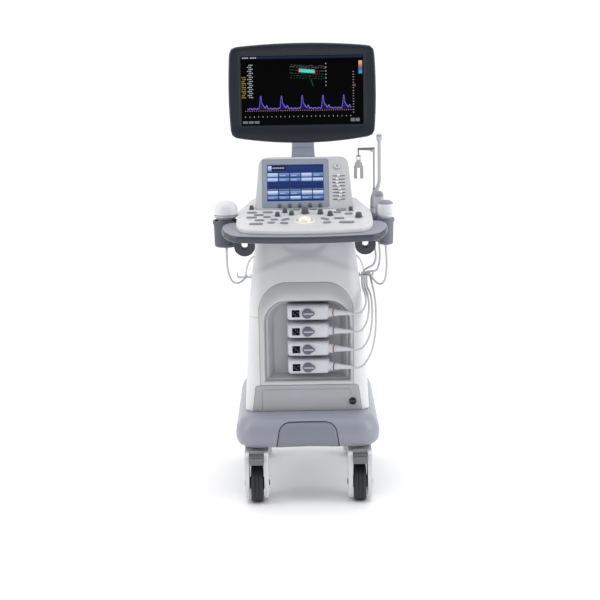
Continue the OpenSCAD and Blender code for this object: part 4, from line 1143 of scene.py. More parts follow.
class SCANNER_OT_plugs(bpy.types.Operator):
    """Builds the four probe connectors with boots, coloured rings, windows and turning locks"""

    bl_idname = "scanner.plugs"
    bl_label = "Probe connectors"

    def housing(self, z):
        """The connector's body, wider at the shoulder and drawn in towards its face."""
        outlines = []
        for y, inset, r in ((PLUG_Y[1], 0.4, 8), (-186, 0.4, 8), (-206, 0.8, 9), (-222, 2.2, 11),
                (-229, 4.2, 13),
                (-232.4, 6.6, 14), (-233.6, 9.4, 13), (PLUG_Y[0], 13, 11)):
            ring = rounded_rect((PLUG_X[0] + inset, PLUG_X[1] - inset),
                (z - PLUG_H / 2 + inset, z + PLUG_H / 2 - inset),
                r, 6, 4)
            outlines.append([(x, y, h) for x, h in ring])
        return rings(outlines)

    def boot(self, z):
        along = at(*BOOT_AT, z) @ Matrix.Rotation(BOOT_TURN, 4, "Z") @ turn(90, "Y")
        grip = [(0, -10), (14, -10), (15, -8), (15, 3), (14.4, 4), (13.4, 5), (13.4, 7.5), (14.6, 8.4),
            (14.6, 12.6)]
        sleeve = [(13.4, 13.6), (13.4, 16.4), (12.2, 18.6)]
        profile = grip + sleeve + [(0, 18.6), (0, -10)]
        cone = [(0, 17), (11, 17), (11, 19)]
        for k in range(8):
            a = 11 - 5.4 * (k / 8) ** 0.7
            cone += [(a, 20 + 6.6 * k), (a - 0.25, 25 + 6.6 * k)]
        cone += [(4.9, 74), (3.6, 75.2), (0, 75.2), (0, 17)]
        band = [(13.3, 0), (14.5, 0.3), (14.5, 3.2), (13.3, 3.5), (13.3, 0)]
        return (moved(turned(profile, 40), along), moved(turned(cone, 32), along),
            moved(turned(band, 40), along @ at(0, 0, 13.3)))

    def execute(self, context):
        bands = ["band_red", "band_green", "band_red", "band_navy"]
        for i, z in enumerate(PLUG_Z):
            collar, cone, band = self.boot(z)
            window = cuboid((-47, -21), (PLUG_Y[0] - 0.9, PLUG_Y[0] + 2), (z - 12.5, z + 12.5), 1.2, 2)
            whole = join(painted(self.housing(z), 0), painted(collar, 0), painted(cone, 0), painted(band, 1),
                painted(window, 2))
            finish_piece(f"probe_plug_{i + 1}", whole, "root", ["plug_white", bands[i], "glass_black"],
                ["probe_plugs"] if i == 0 else (), "plug_white", 34)
            marks = [bar((-43 + 6 * (k % 4), -40 + 6 * (k % 4)), (-9 + 6 * (k // 4), -6 + 6 * (k // 4)), 0, 0)
                for k in range(14) if (k * 7 + i) % 3]
            finish_piece(f"plug_code_{i + 1}", moved(quads(marks), at(0, PLUG_Y[0] - 1.0, z) @ turn(90, "X")),
                "root", "lock_grey", (), "lock_grey")
            self.lock(i, z)
        return {"FINISHED"}

    def lock(self, i, z):
        """A teardrop dial with a finger ridge that is painted paler: a painted highlight."""
        drop = [(16 * math.cos(a), 16 * math.sin(a)) for a in (math.radians(d) for d in range(52, 309, 8))]
        drop += [(23.6, -3.2), (24.6, 0), (23.6, 3.2)]
        dial = plate(drop, 0, 8.2, 2.2, 3)
        skirt = turned([(0, -1), (17.4, -1), (17.4, 0.6), (16.4, 1.4), (0, 1.4), (0, -1)], 48)
        # The ridge takes the paler clip grey as a painted highlight along the dial
        ridge = cuboid((-13, 20), (-2.4, 2.4), (7.6, 9), 1.1, 3)
        whole = moved(join(dial, skirt, painted(ridge, 1)), at(LOCK_X, PLUG_Y[0] - 0.4, z) @ turn(90, "X"))
        finish_piece(f"lock_dial_{i + 1}", whole, f"lock_{i + 1}", ["lock_grey", "clip_grey"],
            [f"plug_lock_{i + 1}"], "lock_grey")


# ---- console ----
def mirrored(right):
    """A closed outline from its right half, given from the front middle round to the rear middle."""
    return right + [(-x, y) for x, y in reversed(right)]


def tray_points():
    """The console tray: a bowed front bar and two arms that run back to the neck."""
    w = 268
    front = [(i * (w - 52) / 8, -20 + 14 * (i / 8) ** 2) for i in range(0, 9)]
    right = front + [(w - 26, 10), (w - 8, 40), (w, 76), (w - 2, 112), (w - 20, 132), (212, 138), (202, 180),
        (198, 300), (180, 340)]
    whole = mirrored(right[1:])
    return rounded_corners(whole, 24, 4)


def unique(points, gap=0.4):
    """Leaves out points that fall on the one before."""
    kept = []
    for p in points:
        if not kept or (Vector(p) - Vector(kept[-1])).length > gap:
            kept.append(p)
    if (Vector(kept[0]) - Vector(kept[-1])).length < gap:
        kept.pop()
    return kept


class SCANNER_OT_console(bpy.types.Operator):
    """Builds the tray, the control panel, the trackball with its ring, and the rear handle"""

    bl_idname = "scanner.console"
    bl_label = "Console"

    box_w = 338
    box_n = -70
    ball_t = 105
    ball_n = -10
    ball_r = 25.4

    def execute(self, context):
        edge = sizes().tray_edge / MM
        tray = plate(unique(tray_points()), TRAY_TOP - TRAY_T, TRAY_TOP, edge, 5, edge * 0.8)
        # Side faces at the front of the tray take the darker finish: painted shade on the rim
        for face in tray.faces:
            middle = face.calc_center_median()
            if abs(face.normal.z) < 0.8 and middle.y < 60:
                face.material_index = 1
        pocket = cylinder(26.6, -37, 20, 64)
        tray = combined(tray, moved(pocket, at(0, self.ball_t, 0)), "DIFFERENCE")
        neck = cuboid((-self.box_w / 2, self.box_w / 2), (191, 411), (self.box_n, TRAY_TOP - 3), 12, 4)
        finish_piece("console_tray_body", moved(join(tray, neck), ON_PANEL), "root",
            ["blue_grey", "grip_strip"],
            ["console_tray"], "blue_grey_shell", 50)
        refined("control_panel", "panel_white", 1.5, 3, 40)
        ball = bmesh.new()
        bmesh.ops.create_uvsphere(ball, u_segments=64, v_segments=32, radius=self.ball_r)
        spot = ON_PANEL @ at(0, self.ball_t, self.ball_n)
        finish_piece("track_ball", moved(ball, spot), "ball", "ball_ivory", ["trackball"], "ball_ivory")
        ring = turned([(25.9, -3), (26.6, 0.6), (28.2, 1.9), (31, 2.2), (34, 1.2), (35.2, 0.1), (35.2, -0.4),
            (26.4, -0.4), (25.9, -3)], 64)
        finish_piece("ball_ring", moved(ring, ON_PANEL @ at(0, self.ball_t, 0)), "root", "ball_ivory", (),
            "panel_white")
        refined("rear_handle", "blue_grey", 0.5)
        return {"FINISHED"}


KNOBS = [(-174, 224, 7, 12), (-88, 150, 8, 13), (-64, 186, 8, 13), (-42, 160, 8, 13), (52, 166, 9, 14),
    (84, 148, 9, 14), (153, 196, 7, 12), (176, 128, 11, 15)]
GAIN_KNOB = (2, 174, 12, 17)
TOUCH_KNOBS = [(-81 + i * 33.5, 12, 6.5, 12) for i in range(5)]


def knob(r, h, ribs=18):
    """A soft-touch knob: ribbed skirt, rounded top with a shallow dish."""
    sides = ribs * 2
    outlines = []
    for z, k, rib in ((0.5, 1.0, 0.0), (1.2, 1.0, 0.05), (h * 0.72, 0.93, 0.07), (h * 0.84, 0.9, 0.0),
            (h * 0.95, 0.84, 0.0), (h, 0.74, 0.0), (h * 0.985, 0.6, 0.0)):
        outlines.append([(r * (k - rib * (i % 2)) * math.cos(2 * math.pi * i / sides),
            r * (k - rib * (i % 2)) * math.sin(2 * math.pi * i / sides), z) for i in range(sides)])
    return rings(outlines)


class SCANNER_OT_controls(bpy.types.Operator):
    """Builds the keys, knobs and the gain dial of the console"""

    bl_idname = "scanner.controls"
    bl_label = "Keys and knobs"

    def execute(self, context):
        refined("key_caps", "key_grey", sizes().key_dome / MM, 3, 40)
        made = [moved(knob(r, h), frame_at @ at(x, y, 0)) for frame_at,
            row in ((ON_PANEL, KNOBS), (ON_TOUCH, TOUCH_KNOBS))
            for x, y, r, h in row]
        seats = [moved(turned([(r + 0.4, -0.2), (r + 0.5, 0.5), (r + 1.8, 0.9), (r + 2.6, 0.2),
            (r + 2.6, -0.2),
            (r + 0.4, -0.2)], 32), ON_PANEL @ at(x, y, 0)) for x, y, r, h in KNOBS + [GAIN_KNOB]]
        finish_piece("console_knobs", join(*made), "root", "knob_dark", ["encoders"], "knob_dark", 40)
        finish_piece("knob_seats", join(*seats), "root", "key_grey", (), "knob_dark", 40)
        x, y, r, h = GAIN_KNOB
        dial = join(knob(r, h, 22), cuboid((-0.7, 0.7), (r * 0.3, r * 0.72), (h - 0.6, h + 0.3), 0.3))
        finish_piece("gain_knob", moved(dial, ON_PANEL @ at(x, y, 0)), "gain", "knob_dark", ["gain_dial"],
            "knob_dark", 40)
        return {"FINISHED"}


# ---- touch display and its housing ----
def touch_outline(inset, per=10):
    """The housing's front outline: nearly square below, broad round shoulders above."""
    a, b = 163 - inset, 148 - inset
    points = [(-a, inset), (a, inset), (b, TOUCH_LEN - inset), (-b, TOUCH_LEN - inset)]
    radii = [max(2, r - inset) for r in (8, 8, 33, 33)]
    return even(rounded_corners(points, radii, per), 96)


def even(points, count):
    """The same closed outline with evenly spaced points."""
    closed = [Vector(p) for p in points] + [Vector(points[0])]
    marks = [0.0]
    for p, q in zip(closed, closed[1:]):
        marks.append(marks[-1] + (q - p).length)
    result = []
    k = 0
    for i in range(count):
        goal = marks[-1] * i / count
        while marks[k + 1] < goal:
            k += 1
        share = (goal - marks[k]) / max(1e-9, marks[k + 1] - marks[k])
        result.append(tuple(closed[k].lerp(closed[k + 1], share)))
    return result




def slider_at(i):
    """Where gain slider i has its slot."""
    return SLIDER[0], SLIDER[1] + SLIDER_PITCH * i


class SCANNER_OT_touch_unit(bpy.types.Operator):
    """Builds the touch display, its housing, the gain sliders and the start button"""

    bl_idname = "scanner.touch_unit"
    bl_label = "Touch unit"

    def housing(self):
        """A loft from the rounded front plate back to its foot on the panel."""
        foot = rounded_corners([(-152, 212), (152, 212), (146, 388), (-146, 388)], [3, 3, 30, 30], 10)
        back = [tuple(ON_TOUCH.inverted() @ ON_PANEL @ Vector((x, y, 1.2))) for x, y in even(foot, 96)]
        outlines = []
        for inset, depth in ((4.2, 0), (2.0, -0.35), (0.6, -1.5), (0, -3.2), (0, -9), (0.3, -14)):
            outlines.append([(x, y, depth) for x, y in touch_outline(inset)])
        front = outlines[-1]
        for t, lift in ((0.22, 9), (0.45, 10), (0.7, 7), (0.9, 2), (1.0, 0)):
            ring = []
            for (x0, y0, z0), (x1, y1, z1) in zip(front, back):
                up = lift * smoothstep(40, 150, y0)
                ring.append((x0 + (x1 - x0) * t, y0 + (y1 - y0) * t + up, z0 + (z1 - z0) * t - up * 0.4))
            outlines.append(ring)
        return rings(outlines)

    def picture(self):
        """The lit controls as rows of panels, each with a paler upper edge."""
        x0, y0, w, h = LIT[0] - LIT[2] / 2, LIT[1] - LIT[3] / 2, LIT[2], LIT[3]
        shown = [bar((x0, x0 + w), (y0, y0 + h), 0, 0)]
        column = w / 5

        def cell(c, low, high, kind, inset=1.6, rise=0.2):
            return bar((x0 + c * column + inset, x0 + (c + 1) * column - inset),
                (y0 + low * h, y0 + high * h), rise,
                kind)

        rows = [(0.045, 0.135, "22122"), (0.165, 0.285, "12211"), (0.535, 0.63, "12211"),
            (0.655, 0.765, "12212")]
        for low, high, kinds in rows:
            shown += [cell(c, low, high, int(kinds[c])) for c in range(5)]
            shown += [bar((x0 + c * column + 5, x0 + (c + 0.62) * column), (y0 + (low + 0.035) * h,
                y0 + (low + 0.055) * h), 0.3, 3) for c in range(5)]
        shown += [cell(c, 0.315, 0.325, 1) for c in range(5)]
        shown.append(bar((x0 + 3, x0 + 15), (y0 + 0.82 * h, y0 + 0.965 * h), 0.2, 1))
        shown.append(bar((x0 + 17, x0 + 62), (y0 + 0.86 * h, y0 + 0.955 * h), 0.2, 5))
        shown += [bar((x0 + 19 + 5 * k, x0 + 22.5 + 5 * k), (y0 + 0.89 * h, y0 + 0.925 * h), 0.35, 3)
            for k in range(8)]
        return quads(shown)

    def execute(self, context):
        x, y, w, h = BEZEL
        gap = 0.5
        cuts = [plate(rounded_rect((x - w / 2 - gap, x + w / 2 + gap), (y - h / 2 - gap, y + h / 2 + gap),
            6.5),
            -6, 8)]
        cuts += [moved(plate(slot_points(42, 3.4), -6, 8), at(*slider_at(i), 0)) for i in range(SLIDER_COUNT)]
        cuts.append(moved(cylinder(START_BORE_R, -12, 8), at(*START, 0)))
        body = combined(self.housing(), join(*cuts), "DIFFERENCE")
        finish_piece("touch_housing_shell", moved(body, ON_TOUCH), "root", "touch_white", ["touch_housing"],
            "white_shell", 40)
        wells = join(*[moved(plate(slot_points(41.6, 3.2), -5, -3.4), at(*slider_at(i), 0))
            for i in range(SLIDER_COUNT)])
        finish_piece("slider_wells", moved(wells, ON_TOUCH), "root", "slot_dark", (), "white_shell")
        self.display()
        self.sliders()
        button = turned([(0, 2.6), (5.6, 2.6), (6.4, 3.2), (7.2, 4.3), (9.4, 4.3), (10.6, 3.6), (11.3, 2.2),
            (11.5, 0),
            (11.5, -8), (0, -8), (0, 2.6)], 56)
        dot = painted(turned([(0, 3.0), (2.3, 3.0), (2.8, 2.5), (0, 2.5), (0, 3.0)], 24), 1)
        finish_piece("start_button_cap", moved(join(button, dot), ON_TOUCH @ at(*START, 0)), "start_key",
            ["silver_lacquer", "knob_dark"], ["start_button"], "button_steel", 40)
        return {"FINISHED"}

    def display(self):
        x, y, w, h = BEZEL
        plate_outline = rounded_rect((x - w / 2, x + w / 2), (y - h / 2, y + h / 2), 6)
        frame_part = plate(plate_outline, -4, 0, 0.9, 3)
        lx, ly, lw, lh = LIT
        opening = cuboid((lx - lw / 2, lx + lw / 2), (ly - lh / 2, ly + lh / 2), (-1.2, 4))
        frame_part = combined(frame_part, opening, "DIFFERENCE")
        cuts = [moved(cylinder(3.6, -5, 4, 24), at(*middle, 0)) for *middle, _, _ in TOUCH_KNOBS]
        frame_part = combined(frame_part, join(*cuts), "DIFFERENCE")
        finish_piece("touch_bezel", moved(frame_part, ON_TOUCH), "root", "display_bezel", ["touch_display"],
            "display_bezel", 30)
        pane = painted(cuboid((lx - lw / 2 + 0.1, lx + lw / 2 - 0.1), (ly - lh / 2 + 0.1, ly + lh / 2 - 0.1),
            (-1.2, -0.9)), 0)
        finish_piece("touch_pane", moved(pane, ON_TOUCH), "root", "glass_black", (), "screen")
        kinds = ["lit_blue", "lit_button", "lit_mid", "lit_white", "lit_navy", "glass_black"]
        finish_piece("touch_picture", moved(self.picture(), ON_TOUCH @ at(0, 0, -0.85)), "root", kinds, (),
            "screen")

    def sliders(self):
        made = []
        for i in range(SLIDER_COUNT):
            x, y = slider_at(i)
            x += 6 * math.sin(math.radians(51 * i))
            grip = cuboid((x - 4.5, x + 4.5), (y - 3, y + 3), (0.5, 7.5), 1.1, 3)
            stem = cuboid((x - 2, x + 2), (y - 1.1, y + 1.1), (-7, 3), 0.2)
            line = painted(cuboid((x - 0.5, x + 0.5), (y - 2.2, y + 2.2), (7.2, 7.6), 0.15), 1)
            made += [painted(grip, 0), painted(stem, 0), line]
        finish_piece("gain_slider_grips", moved(join(*made), ON_TOUCH), "gain_sliders",
            ["slider_white", "slot_dark"],
            ["tgc_sliders"], "slider_white")


# ---- monitor ----


def barrel(inset, count=96):
    """The monitor's outline: a shallow arc along each side, round corners."""
    w, h = MONITOR[0] / 2, MONITOR[1] / 2
    rise_x, rise_y, corner = 19, 8, 27
    rw = (w * w + rise_x**2) / (2 * rise_x)
    rh = (h * h + rise_y**2) / (2 * rise_y)

    def top(x):
        return h - rw + math.sqrt(rw * rw - x * x)

    def side(z):
        return w - rh + math.sqrt(rh * rh - z * z)

    # The corner where the top arc meets the side arc
    x, z = w, h
    for _ in range(20):
        x, z = side(z), top(x)
    quarter = [(side(z * k / 12), z * k / 12) for k in range(10)] + [(x, z)]
    quarter += [(x * k / 16, top(x * k / 16)) for k in range(13, 0, -1)]
    right = [(px, pz) for px, pz in quarter if px > 0]
    loop = right + [(0, h)] + [(-px, pz) for px, pz in reversed(right)]
    lower = [(px, -pz) for px, pz in reversed(loop) if pz > 0]
    points = loop + lower
    smooth = rounded_corners(points, [corner if abs(abs(px) - x) < 0.01 and abs(abs(pz) - z) < 0.01 else 0
        for px, pz in points], 8)
    # The top edge is flatter than the bottom edge
    smooth = [(px, pz + (px / w) ** 2 * abs(pz) / h * (6 if pz > 0 else 4)) for px, pz in smooth]
    return inward(smooth, inset, count)


def inward(points, inset, count):
    """An even outline drawn in by a distance, along each point's normal."""
    ring = [Vector(p) for p in even(points, count)]
    moved_in = []
    for i, p in enumerate(ring):
        along = (ring[(i + 1) % count] - ring[i - 1]).normalized()
        moved_in.append((p.x - along.y * inset, p.y + along.x * inset))
    return moved_in


def matched(ring, like, middle):
    """One point of the ring for each point of the other, along the same ray from the middle height."""

    def way(p):
        return math.atan2(p[-1] - middle, p[0])

    return [min(ring, key=lambda p, goal=way(q): abs(math.remainder(way(p) - goal, 2 * math.pi)))
        for q in like]


class SCANNER_OT_monitor(bpy.types.Operator):
    """Builds the monitor: bezel, glass, picture, rear shell, and the arm and post below it"""

    bl_idname = "scanner.monitor"
    bl_label = "Monitor"

    def opening(self, grow, r):
        """The screen's opening in the bezel, as many even points."""
        half_w, half_h = SCREEN[0] / 2 + grow, SCREEN[1] / 2 + grow
        ring = rounded_rect((-half_w, half_w), (SCREEN_UP - half_h, SCREEN_UP + half_h), r, 6, 8)
        return even(ring, 384)

    def bezel(self):
        outer = barrel(3.6, 240)
        steps = [(3.6, 11), (3.6, 3), (4.0, 1.4), (5.2, 0.4), (7.0, 0)]
        outlines = [[(x, MONITOR_Y + y, z) for x, z in barrel(inset, 240)] for inset, y in steps]
        for grow, y in ((6.5, 0.0), (5.6, 0.5), (4.8, 1.2), (1.2, 1.6), (0.2, 2.2), (0.2, 4.2)):
            ring = matched(self.opening(grow, max(0.6, grow)), outer, SCREEN_UP)
            outlines.append([(x, MONITOR_Y + y, z) for x, z in ring])
        return rings(outlines, capped=False)

    def back(self):
        y0 = MONITOR_Y + 12
        outlines = []
        for inset, y in ((3.8, 4), (2.6, 0.6), (1.2, 0), (0.2, 1.2), (0, 3), (0, 14), (0.6, 17), (2.4, 19.5)):
            outlines.append([(x, y0 + y, z) for x, z in barrel(inset, 96)])
        rim = outlines[-1]
        small = matched(even(rounded_rect((-140, 140), (-90, 90), 30, 8, 8), 800), rim, 0)
        for t, y in ((0.3, 24), (0.62, 31), (0.85, 37), (0.95, 41), (1.0, 43), (1.06, 44)):
            outlines.append([(x0 + (x1 - x0) * t, y0 + y, z0 + (z1 - z0) * t)
                for (x0, _, z0), (x1, z1) in zip(rim, small)])
        shell = rings(outlines, capped=False)
        bmesh.ops.holes_fill(shell, edges=[e for e in shell.edges if e.is_boundary
            and e.verts[0].co.y > y0 + 30])
        return outward(shell)

    def picture(self):
        """A generic scan picture: scales, grey echoes and a row of peaks."""
        w, h = SCREEN

        def spot(x, z):
            return (x / 100 - 0.5) * w, SCREEN_UP + (z / 100 - 0.5) * h

        def box(x0, x1, z0, z1, kind, y=0.25):
            a, c = spot(x0, z0), spot(x1, z1)
            return bar((a[0], c[0]), (a[1], c[1]), y, kind)

        shown = [box(0.6, 99.4, 95.6, 99.2, 0), box(0, 100, 0, 100, 1, 0.1)]
        shown += [box(1.4 + 1.3 * k, 2.3 + 1.3 * k, 96.6, 98.2, 3, 0.3) for k in range(9) if k != 4]
        for k in range(17):
            high = 87 - 2.9 * k
            for j in range(4):
                if (k * 5 + j * 3) % 7 and k > 5:
                    shown.append(box(0.6 + 0.9 * j, 1.25 + 0.9 * j, high - 0.7, high + 0.5, 4))
                if (k * 3 + j * 5) % 6:
                    shown.append(box(5.4 + 1.2 * j, 6.2 + 1.2 * j, high - 0.6, high + 0.7, 3))
        shown += self.trace(box)
        shown += [box(3 + 1.8 * k, 3.7 + 1.8 * k, 20.6, 21.5, 4) for k in range(50)]
        shown += [box(3 + 3.6 * k, 3.4 + 3.6 * k, 11.6, 13.2, 3) for k in range(25)]
        shown += [box(91.4, 92.4, 17 + 3.9 * k, 17.7 + 3.9 * k, 3) for k in range(16)]
        shown.append(box(92.6, 93.6, 55, 58, 7))
        shown += [box(96.2, 99.2, 73, 82, 8), box(96.2, 99.2, 82, 91.5, 9)]
        shown += self.echoes(box)
        shown += [box(1 + 4.8 * k, 5 + 4.8 * k, 2.8, 6.3, 10) for k in range(3)]
        shown += [box(89.5 + 4 * k, 92.8 + 4 * k, 4, 9, 10) for k in range(2)]
        return quads(shown)

    def echoes(self, box):
        """Layered grey lines with a slanted, tinted sample box and a dotted depth scale."""
        made = []
        for k in range(27):
            x = 40 + 1.1 * k
            lift = 0.6 * math.sin(k * 0.9)
            for row, (z, thick, kind) in enumerate(((86, 0.9, 11), (83.4, 1.3, 11), (79, 0.9, 11),
                    (74.6, 0.8, 11),
                    (71.4, 0.6, 12), (68.2, 0.5, 12))):
                if (k * 5 + row * 7) % 9 > 1 + row // 2:
                    slant = -0.1 * k + lift * (1 - 0.3 * row)
                    made.append(box(x, x + 1.0, z + slant, z + slant + thick, kind))
        for k in range(14):
            end = 7 if k in (0, 13) else 6
            made.append(box(47 + k, 48.04 + k, 76.2 - 0.16 * k, 81.4 - 0.16 * k, end, 0.4))
        made += [box(57 + 0.35 * k, 57.5 + 0.35 * k, 64 - 1.6 * k, 65.4 - 1.6 * k, 12) for k in range(6)]
        made += [box(69.2, 69.9, 56 + 5.2 * k, 57.4 + 5.2 * k, 3) for k in range(7)]
        return made

    def trace(self, box):
        """Five heart beats: a steep rise, a slow fall and a second small bump."""
        made = []

        def height(x):
            beat = ((x - 12.2) % 17.0) / 17.0
            rise = math.exp(-((beat - 0.22) / 0.055) ** 2)
            fall = 0.5 * math.exp(-(max(0.0, beat - 0.24) / 0.14) ** 1.6) if beat > 0.22 else 0.0
            bump = 0.26 * math.exp(-((beat - 0.5) / 0.05) ** 2)
            return 23.4 + 19.0 * max(rise, fall, bump, 0.04 + 0.03 * math.sin(x * 1.9))

        for k in range(340):
            x = 5 + k * 0.25
            ripple = 0.8 * math.sin(k * 1.7) + 0.6 * math.sin(k * 0.61)
            made.append(box(x, x + 0.25, 22.2, max(22.8, height(x) * 0.94 + ripple * 0.6), 2))
            near, far = height(x), height(x + 0.25)
            made.append(box(x, x + 0.25, min(near, far) - 0.5, max(near, far) + 0.5, 5, 0.4))
        return made

    def execute(self, context):
        place = at(0, 0, MONITOR_Z)
        frame_part = finish_piece("monitor_bezel_frame", moved(self.bezel(), place), "monitor",
            "monitor_frame",
            ["monitor_bezel"], "monitor_frame", 30)
        walled(frame_part, 1.2)
        glass = cuboid((-SCREEN[0] / 2 - 3, SCREEN[0] / 2 + 3), (MONITOR_Y + 4.4, MONITOR_Y + 8),
            (SCREEN_UP - SCREEN[1] / 2 - 3, SCREEN_UP + SCREEN[1] / 2 + 3), 0.3)
        finish_piece("monitor_glass", moved(glass, place), "monitor", "glass_black", ["monitor_panel"],
            "screen")
        kinds = ["lit_navy", "glass_black", "lit_violet_dim", "lit_white", "lit_yellow", "lit_violet",
            "lit_cyan",
            "lit_red", "lit_scale", "lit_orange", "lit_dim", "lit_tissue", "lit_green"]
        finish_piece("monitor_picture", moved(self.picture(),
            place @ at(0, MONITOR_Y + 4.3, 0) @ turn(90, "X")
            ), "monitor", kinds, (), "screen")
        shell = self.back()
        lugs = [moved(self.lug(), at(s * 34, 0, 0)) for s in (-1, 1)]
        # Dark boxes on the rear shell stand for vent slots: painted shade where the openings would be
        slots = [cuboid((-60 + 12 * k, -54 + 12 * k), (18.6, 19.6), (52, 78), 0.4) for k in range(11)]
        finish_piece("monitor_back_shell", moved(join(painted(shell, 0), *[painted(x, 0) for x in lugs],
            *[painted(x, 1) for x in slots]), place), "monitor", ["monitor_shell", "slot_dark"],
            ["monitor_back"],
            "monitor_shell", 40)
        refined("monitor_yoke", "cast_grey", 3.2, 4, 30)
        refined("monitor_post", "cast_grey", 7, 5, 30)
        return {"FINISHED"}

    def lug(self):
        """An ear that takes the tilt pin, standing on the rear shell."""
        round_part = [(62 + 13 * math.cos(math.radians(a)),
            13 * math.sin(math.radians(a))) for a in range(-90, 91, 10)]
        outline = round_part + [(17, 20), (17, -20)]
        slab = plate(outline, -7, 7, 1.6, 3, 1.6)
        return standing_side(slab)


def standing_side(bm):
    """Turns a plate made in XY so that its X runs along Y and its Y along Z."""
    return moved(bm, Matrix(((0, 0, 1, 0), (1, 0, 0, 0), (0, 1, 0, 0), (0, 0, 0, 1))))


# ---- cups and probes ----
class SCANNER_OT_cups(bpy.types.Operator):
    """Builds the four probe cups, their arms and the pole's socket"""

    bl_idname = "scanner.cups"
    bl_label = "Probe cups"

    wall = 3

    def cup(self, d):
        r = d / 2
        h = CUP_DEPTH
        lip = r + self.wall + 2.4
        profile = [(12, 3), (12.8, 0.6), (15, 0), (r - 5, 0), (r - 1.6, 1.4), (r + 0.4, 5), (r + 1, 12),
            (r + self.wall - 1, h - 26), (r + self.wall - 0.4, h - 15), (lip - 0.8, h - 12.4),
            (lip, h - 10.5),
            (lip, h - 2.6), (lip - 0.8, h - 0.8), (lip - 2.4, h), (r + 1.2, h), (r + 0.2, h - 0.8),
            (r - 0.1, h - 2.4),
            (r - 2.4, 14), (r - 4, 7), (r - 7, 5.2), (13.4, 5), (12.2, 4.2), (12, 3)]
        return turned(profile, 72)

    def execute(self, context):
        parts = []
        for x, y, d in CUPS:
            tone = 1 if x < 0 else 0
            parts.append(painted(moved(self.cup(d), at(x, y, CUP_Z - CUP_DEPTH)), tone))
        arms = combined(cuboid((208, 262), (-214, -24), (CUP_Z - 46, CUP_Z - 36), 3, 3), join(*[
            moved(cylinder(d / 2 + 1, 0, 90), at(x, y, CUP_Z - 90))
            for x, y, d in CUPS[:3]]), "DIFFERENCE")
        left = combined(cuboid((-230, -206), (-225, -185), (CUP_Z - 46, CUP_Z - 36), 3, 3),
            moved(cylinder(CUPS[3][2] / 2 + 1, 0, 90), at(*CUPS[3][:2], CUP_Z - 90)), "DIFFERENCE")
        socket = [(2.6, -50), (6, -50), (6, 2), (5.6, 3), (5.6, 4), (6, 5), (6, 66), (5.2, 71), (4.4, 72),
            (2.6, 72)]
        post = painted(moved(turned(socket + [(2.6, -50)], 32), at(*POLE, CUP_Z)), 2)
        finish_piece("cup_set", join(*parts, painted(arms, 0), painted(left, 1), post), "root",
            ["cup_grey", "cup_dark", "probe_white"], ["probe_cups"], "cup_dark", 30)
        return {"FINISHED"}


def lathe_smooth(points, per=4):
    """A lathe profile softened by a spline between given points."""
    line = spline([(r, z, 0) for r, z in points], per)
    return [(max(0.0, p.x), p.y) for p in line]


